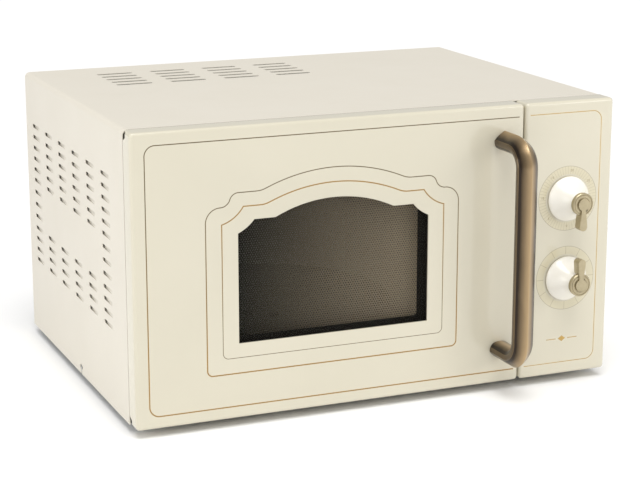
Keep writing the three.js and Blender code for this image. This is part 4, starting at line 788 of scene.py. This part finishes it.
widest = (-half, 0.09 * ridge)
side = curve((0, ridge), (-0.42 * half, 0.74 * ridge), (-0.78 * half, 0.44 * ridge), widest, 8)
side += curve(widest, (-half, -0.7 * back), (-0.6 * half, -back), (0, -back), 14)
section = side + [(0, -back)] + [(-x, z) for x, z in reversed(side[1:])]
section = [(grip_x + x, root, upper + z) for x, z in section]
handle = drawn("bow_handle", section, (0, grip_y + bend - root, 0))
pick(handle, "FACE", lambda c, n: n.y < -0.9)
grip = (0, 0, lower_leg - upper + 2 * bend)
leg = (0, root - grip_y - bend, 0)
for bend_z, straight in ((upper - bend, grip), (lower_leg + bend, leg)):
    bpy.ops.mesh.spin(steps=20, angle=math.pi / 2, center=(0, grip_y + bend, bend_z), axis=(-1, 0, 0))
    bpy.ops.mesh.extrude_region_move(TRANSFORM_OT_translate={"value": straight})
sealed()
smooth(handle, 24)

bronze, shader, place = finish("antique_bronze", Metallic=0.85, Coat_Weight=0.35, Coat_Roughness=0.12)
x, y, z = place.axes()
across = abs(x - grip_x)
# Painted highlights: thin light lines on the ridge and near the widest edges of the section.
painted_highlights = line(across, 0.5 * mm) * 0.3 + line(across - 9.7 * mm, 0.5 * mm) * 0.5
# Patina and painted shade: darker from the ridge towards the sides, partly antique patina and partly painted
# shade.
patina_and_painted_shade = (place.mottle(9 * mm, 4.0, (1, 1, 0.25)) * 0.3 + painted_highlights + 0.88 - across / (7.5 * mm)).held()
patina_and_painted_shade.between(colour(40, 28, 15), colour(182, 156, 118)).feeds(shader, "Base Color")
(place.mottle(3 * mm, 3.0) * 0.1 + 0.26).feeds(shader, "Roughness")
place.mottle(0.35 * mm, 2.0, (1, 1, 0.1)).relief(0.012 * mm).feeds(shader, "Normal")
fitted(handle, bronze, "bronze", "door", "door_handle")

# ---------------------------------------------------------------- control panel
# The same glossy cream moulding as the door. A fine gold line runs round three sides, and each
# control has a printed scale: minutes for the timer, steps for the power.
low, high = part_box("control_panel")
panel_x = (low.x + high.x) / 2
timer_low, timer_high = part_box("timer_knob")
power_low, power_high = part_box("power_knob")
timer_z, power_z = (timer_low.z + timer_high.z) / 2, (power_low.z + power_high.z) / 2
panel = moulding("panel_shell", low, high)
bore = [(0, 0), (5 * mm, 0), (5 * mm, 8 * mm), (0, 8 * mm)]
for z in (timer_z, power_z):
    carve(panel, turned("bore", bore, (panel_x, face - mm, z), (0, 1, 0), 32))
smooth(panel, 40)

panel_paint, shader, place, ground = cream("cream_panel")
x, y, z = place.axes()
front = (face + 0.4 * mm - y).above(0.0)
edge_line = rounded(x, z, (0, 213.8 * mm, 19.5 * mm, 251.4 * mm), 8.5 * mm)
edge_line = line(edge_line, 0.34 * mm) * (x - 141.5 * mm).above(0.0)


def scale(middle, marks, mark_half):
    """Outer ring, tinted band and radial marks of one printed scale."""
    inner_edge, outer_edge, soft = 22 * mm, 29.5 * mm, 0.3 * mm
    r = far(x, z, panel_x, middle)
    turn = (x - panel_x).worked("ARCTAN2", z - middle)
    beside = abs((turn * (marks / (2 * math.pi)) + 0.5).worked("FRACT") - 0.5) * r * (2 * math.pi / marks)
    span = ((r - inner_edge) / soft).held() * ((outer_edge - r) / soft).held()
    return line(r - outer_edge, 0.2 * mm), span, line(beside, mark_half) * span


timer_ring, timer_band, timer_marks = scale(timer_z, 60, 0.13 * mm)
power_ring, power_band, power_marks = scale(power_z, 12, 0.18 * mm)
bands = timer_band + power_band
prints = (timer_ring.larger(power_ring) * 0.6).larger(timer_marks * 0.4).larger(power_marks * 0.55)
ornament_x, ornament_z = panel_x - 1.5 * mm, 42 * mm
v, w = abs(x - ornament_x), abs(z - ornament_z)
lozenge = ((1.0 - v / (4.2 * mm) - w / (3.0 * mm)) * 6.0).held()
dash = line(w, 0.35 * mm) * (v - 6 * mm).above(0.0) * (16 * mm - v).above(0.0)
golden = edge_line.larger(lozenge).larger(dash) * front
tinted = (bands * front * 0.5).between(ground, colour(212, 202, 166))
scaled = (prints * front).between(tinted, colour(132, 116, 80))
golden.between(scaled, colour(190, 156, 84)).feeds(shader, "Base Color")
(golden * 0.5).feeds(shader, "Metallic")
fitted(panel, panel_paint, "cream_plastic", "body", "control_panel")

print_ink = grained("scale_ink", (150, 134, 96), (160, 144, 104), 4 * mm, 0.2 * mm, 0.002 * mm, (0.4, 0.5))
full_time, full_turn, number_radius = 35, math.radians(330), 25.6 * mm
for minutes in range(0, full_time, 5):
    turn = minutes / full_time * full_turn
    let_go()
    bpy.ops.object.text_add()
    number = named(f"minutes_{minutes}")
    number.data.body = str(minutes)
    number.data.size = 3.1 * mm
    number.data.align_x = number.data.align_y = "CENTER"
    number.data.extrude = 0.02 * mm
    bpy.ops.object.convert(target="MESH")
    number = named(f"minutes_{minutes}")
    across, up = -number_radius * math.sin(turn), -number_radius * math.cos(turn)
    at = (panel_x + across, face - 0.02 * mm, timer_z + up)
    number.data.transform(Matrix.Translation(at) @ Matrix.Rotation(math.pi / 2, 4, "X"))
    fitted(number, print_ink, "bronze", "body")

# ---------------------------------------------------------------- timer case and shafts
# White nylon case of the clockwork timer and power switch, fixed behind the panel, and the two
# moulded shafts that come out of it.
coated(nylon, "timer_case", "timer_shaft", "power_shaft")

# ---------------------------------------------------------------- knobs
# Trumpet-shaped knobs in pearl cream plastic, wide at the panel and narrow in front, with a soft
# pearl shimmer and a polished skin.
pearl, shader, place = finish("pearl_plastic", Coat_Weight=0.7, Coat_Roughness=0.08)
place.mottle(7 * mm, 4.0).between(colour(243, 239, 228), colour(249, 246, 238)).feeds(shader, "Base Color")
(place.mottle(5 * mm) * 0.12 + 0.26).feeds(shader, "Roughness")
place.mottle(0.5 * mm).relief(0.008 * mm).feeds(shader, "Normal")
for control, middle in (("timer", timer_z), ("power", power_z)):
    low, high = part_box(f"{control}_knob")
    length = high.y - low.y
    profile = [(3.3, 1.5), (3.3, 0), (19.6, 0), (20.3, 0.25), (20.5, 0.9)]
    for i in range(25):
        t = i / 24
        profile.append((7.4 + 12.7 * (1 - t) ** 1.9, 2 + (length / mm - 2) * t ** 0.85))
    profile.append((0, length / mm))
    profile = [(r * mm, d * mm) for r, d in profile]
    knob = turned(f"{control}_dial_knob", profile, (panel_x, high.y, middle), (0, -1, 0), 96)
    smooth(knob, 40)
    fitted(knob, pearl, "pearl_plastic", f"{control}_control", f"{control}_knob")

# ---------------------------------------------------------------- pointers
# Satin bronze cap on each knob, with a keyhole-shaped relief: a round boss and a waisted lever
# that widens to a round tip.
cap_bronze, shader, place = finish("cap_bronze", Metallic=0.7)
tarnish = place.mottle(4 * mm, 4.0)
tarnish.between(colour(168, 156, 126), colour(190, 178, 148)).feeds(shader, "Base Color")
(tarnish * 0.12 + 0.3).feeds(shader, "Roughness")
place.mottle(0.25 * mm).relief(0.01 * mm).feeds(shader, "Normal")
cap_profile = [(0, 0), (9.9, 0), (10.3, 0.4), (10.3, 3.4), (9.7, 4), (9.1, 4), (8.9, 3.5), (8.5, 3.5),
               (8.3, 4), (6.4, 4), (6.2, 3.4), (0, 3.4)]
boss, neck, tip, tip_at = 5.5, 2.2, 3.7, 20.3
waist = math.degrees(math.asin(neck / boss))
keyhole = arc(0, 0, boss, 90 + waist, 450 - waist, 28)
keyhole += curve((neck, 5.04), (neck, 10), (3.2, 13), (tip, tip_at), 8)
keyhole += arc(0, tip_at, tip, 0, 180, 12)
keyhole += curve((-tip, tip_at), (-3.2, 13), (-neck, 10), (-neck, 5.04), 8)[1:]
fin = [(-2.6, 10), (-3.1, 13), (-tip, tip_at)] + arc(0, tip_at, tip, 180, 0, 12)[1:] + [(3.1, 13), (2.6, 10)]


def levered(name, outline, y, middle, up, depth):
    """Part of a lever: its outline, pointing up or down from the middle of the knob, and its depth."""
    points = [(panel_x + a * mm, y, middle + up * b * mm) for a, b in outline]
    return drawn(name, points, (0, depth, 0))


for control, middle, up in (("timer", timer_z, -1), ("power", power_z, 1)):
    low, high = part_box(f"{control}_pointer")
    cap_face = low.y + 1.6 * mm
    cap_back = cap_face + 4 * mm
    profile = [(r * mm, d * mm) for r, d in cap_profile]
    cap = turned(f"{control}_cap", profile, (panel_x, cap_back, middle), (0, -1, 0), 64)
    lever = levered("relief", keyhole, low.y, middle, up, 2.6 * mm)
    carve(lever, levered("blade", fin, low.y + 0.3 * mm, middle, up, 8.2 * mm), "UNION")
    modify(lever, "BEVEL", width=0.35 * mm, segments=3, limit_method="ANGLE", angle_limit=math.radians(40))
    pointer = welded([cap, lever], f"{control}_lever_cap")
    smooth(pointer, 30)
    fitted(pointer, cap_bronze, "bronze", f"{control}_control", f"{control}_pointer")

# ---------------------------------------------------------------- worktop, light and camera
# A pale worktop, an even pale sky, one broad soft light from above in front, and a soft box at
# each side: the left one brightens the front of the cover, the right one the front of the door.
let_go()
bpy.ops.mesh.primitive_plane_add(size=30)
floor = named("worktop")
pale_top, shader, place = finish("pale_worktop", Roughness=0.9)
place.mottle(0.4).between((0.93, 0.93, 0.93, 1), (0.95, 0.95, 0.95, 1)).feeds(shader, "Base Color")
floor.data.materials.append(pale_top)

world = bpy.data.worlds.new("studio")
bpy.context.scene.world = world
world.use_nodes = True
world.node_tree.nodes["Background"].inputs["Color"].default_value = (1.0, 0.99, 0.97, 1)
world.node_tree.nodes["Background"].inputs["Strength"].default_value = 0.55


def lamp(name, kind, place, aim, power, size):
    """A soft light at a place, turned towards a point."""
    turn = (Vector(aim) - Vector(place)).to_track_quat("-Z", "Y").to_euler()
    bpy.ops.object.light_add(type=kind, location=place, rotation=turn)
    light = named(name)
    light.data.energy = power
    if kind == "SUN":
        light.data.angle = math.radians(size)
    else:
        light.data.size = size


lamp("key", "SUN", (-0.25, -0.7, 2.0), (0, 0, 0), 1.9, 40)
lamp("left_box", "AREA", (-1.0, -0.3, 0.4), (-0.226, -0.12, 0.13), 1.7, 0.5)
lamp("right_box", "AREA", (1.3, -1.4, 0.7), (0.2, -0.15, 0.13), 7.0, 0.8)

camera = bpy.data.cameras.new("camera")
camera.lens = 104.1
camera.clip_end = 100
view = bpy.data.objects.new("camera", camera)
bpy.context.collection.objects.link(view)
view.location = (-0.6497, -1.55805, 0.5419)
view.rotation_euler = (math.radians(90 - 14.1), 0, math.radians(-22.71))
bpy.context.scene.camera = view
bpy.context.scene.view_settings.view_transform = "Standard"
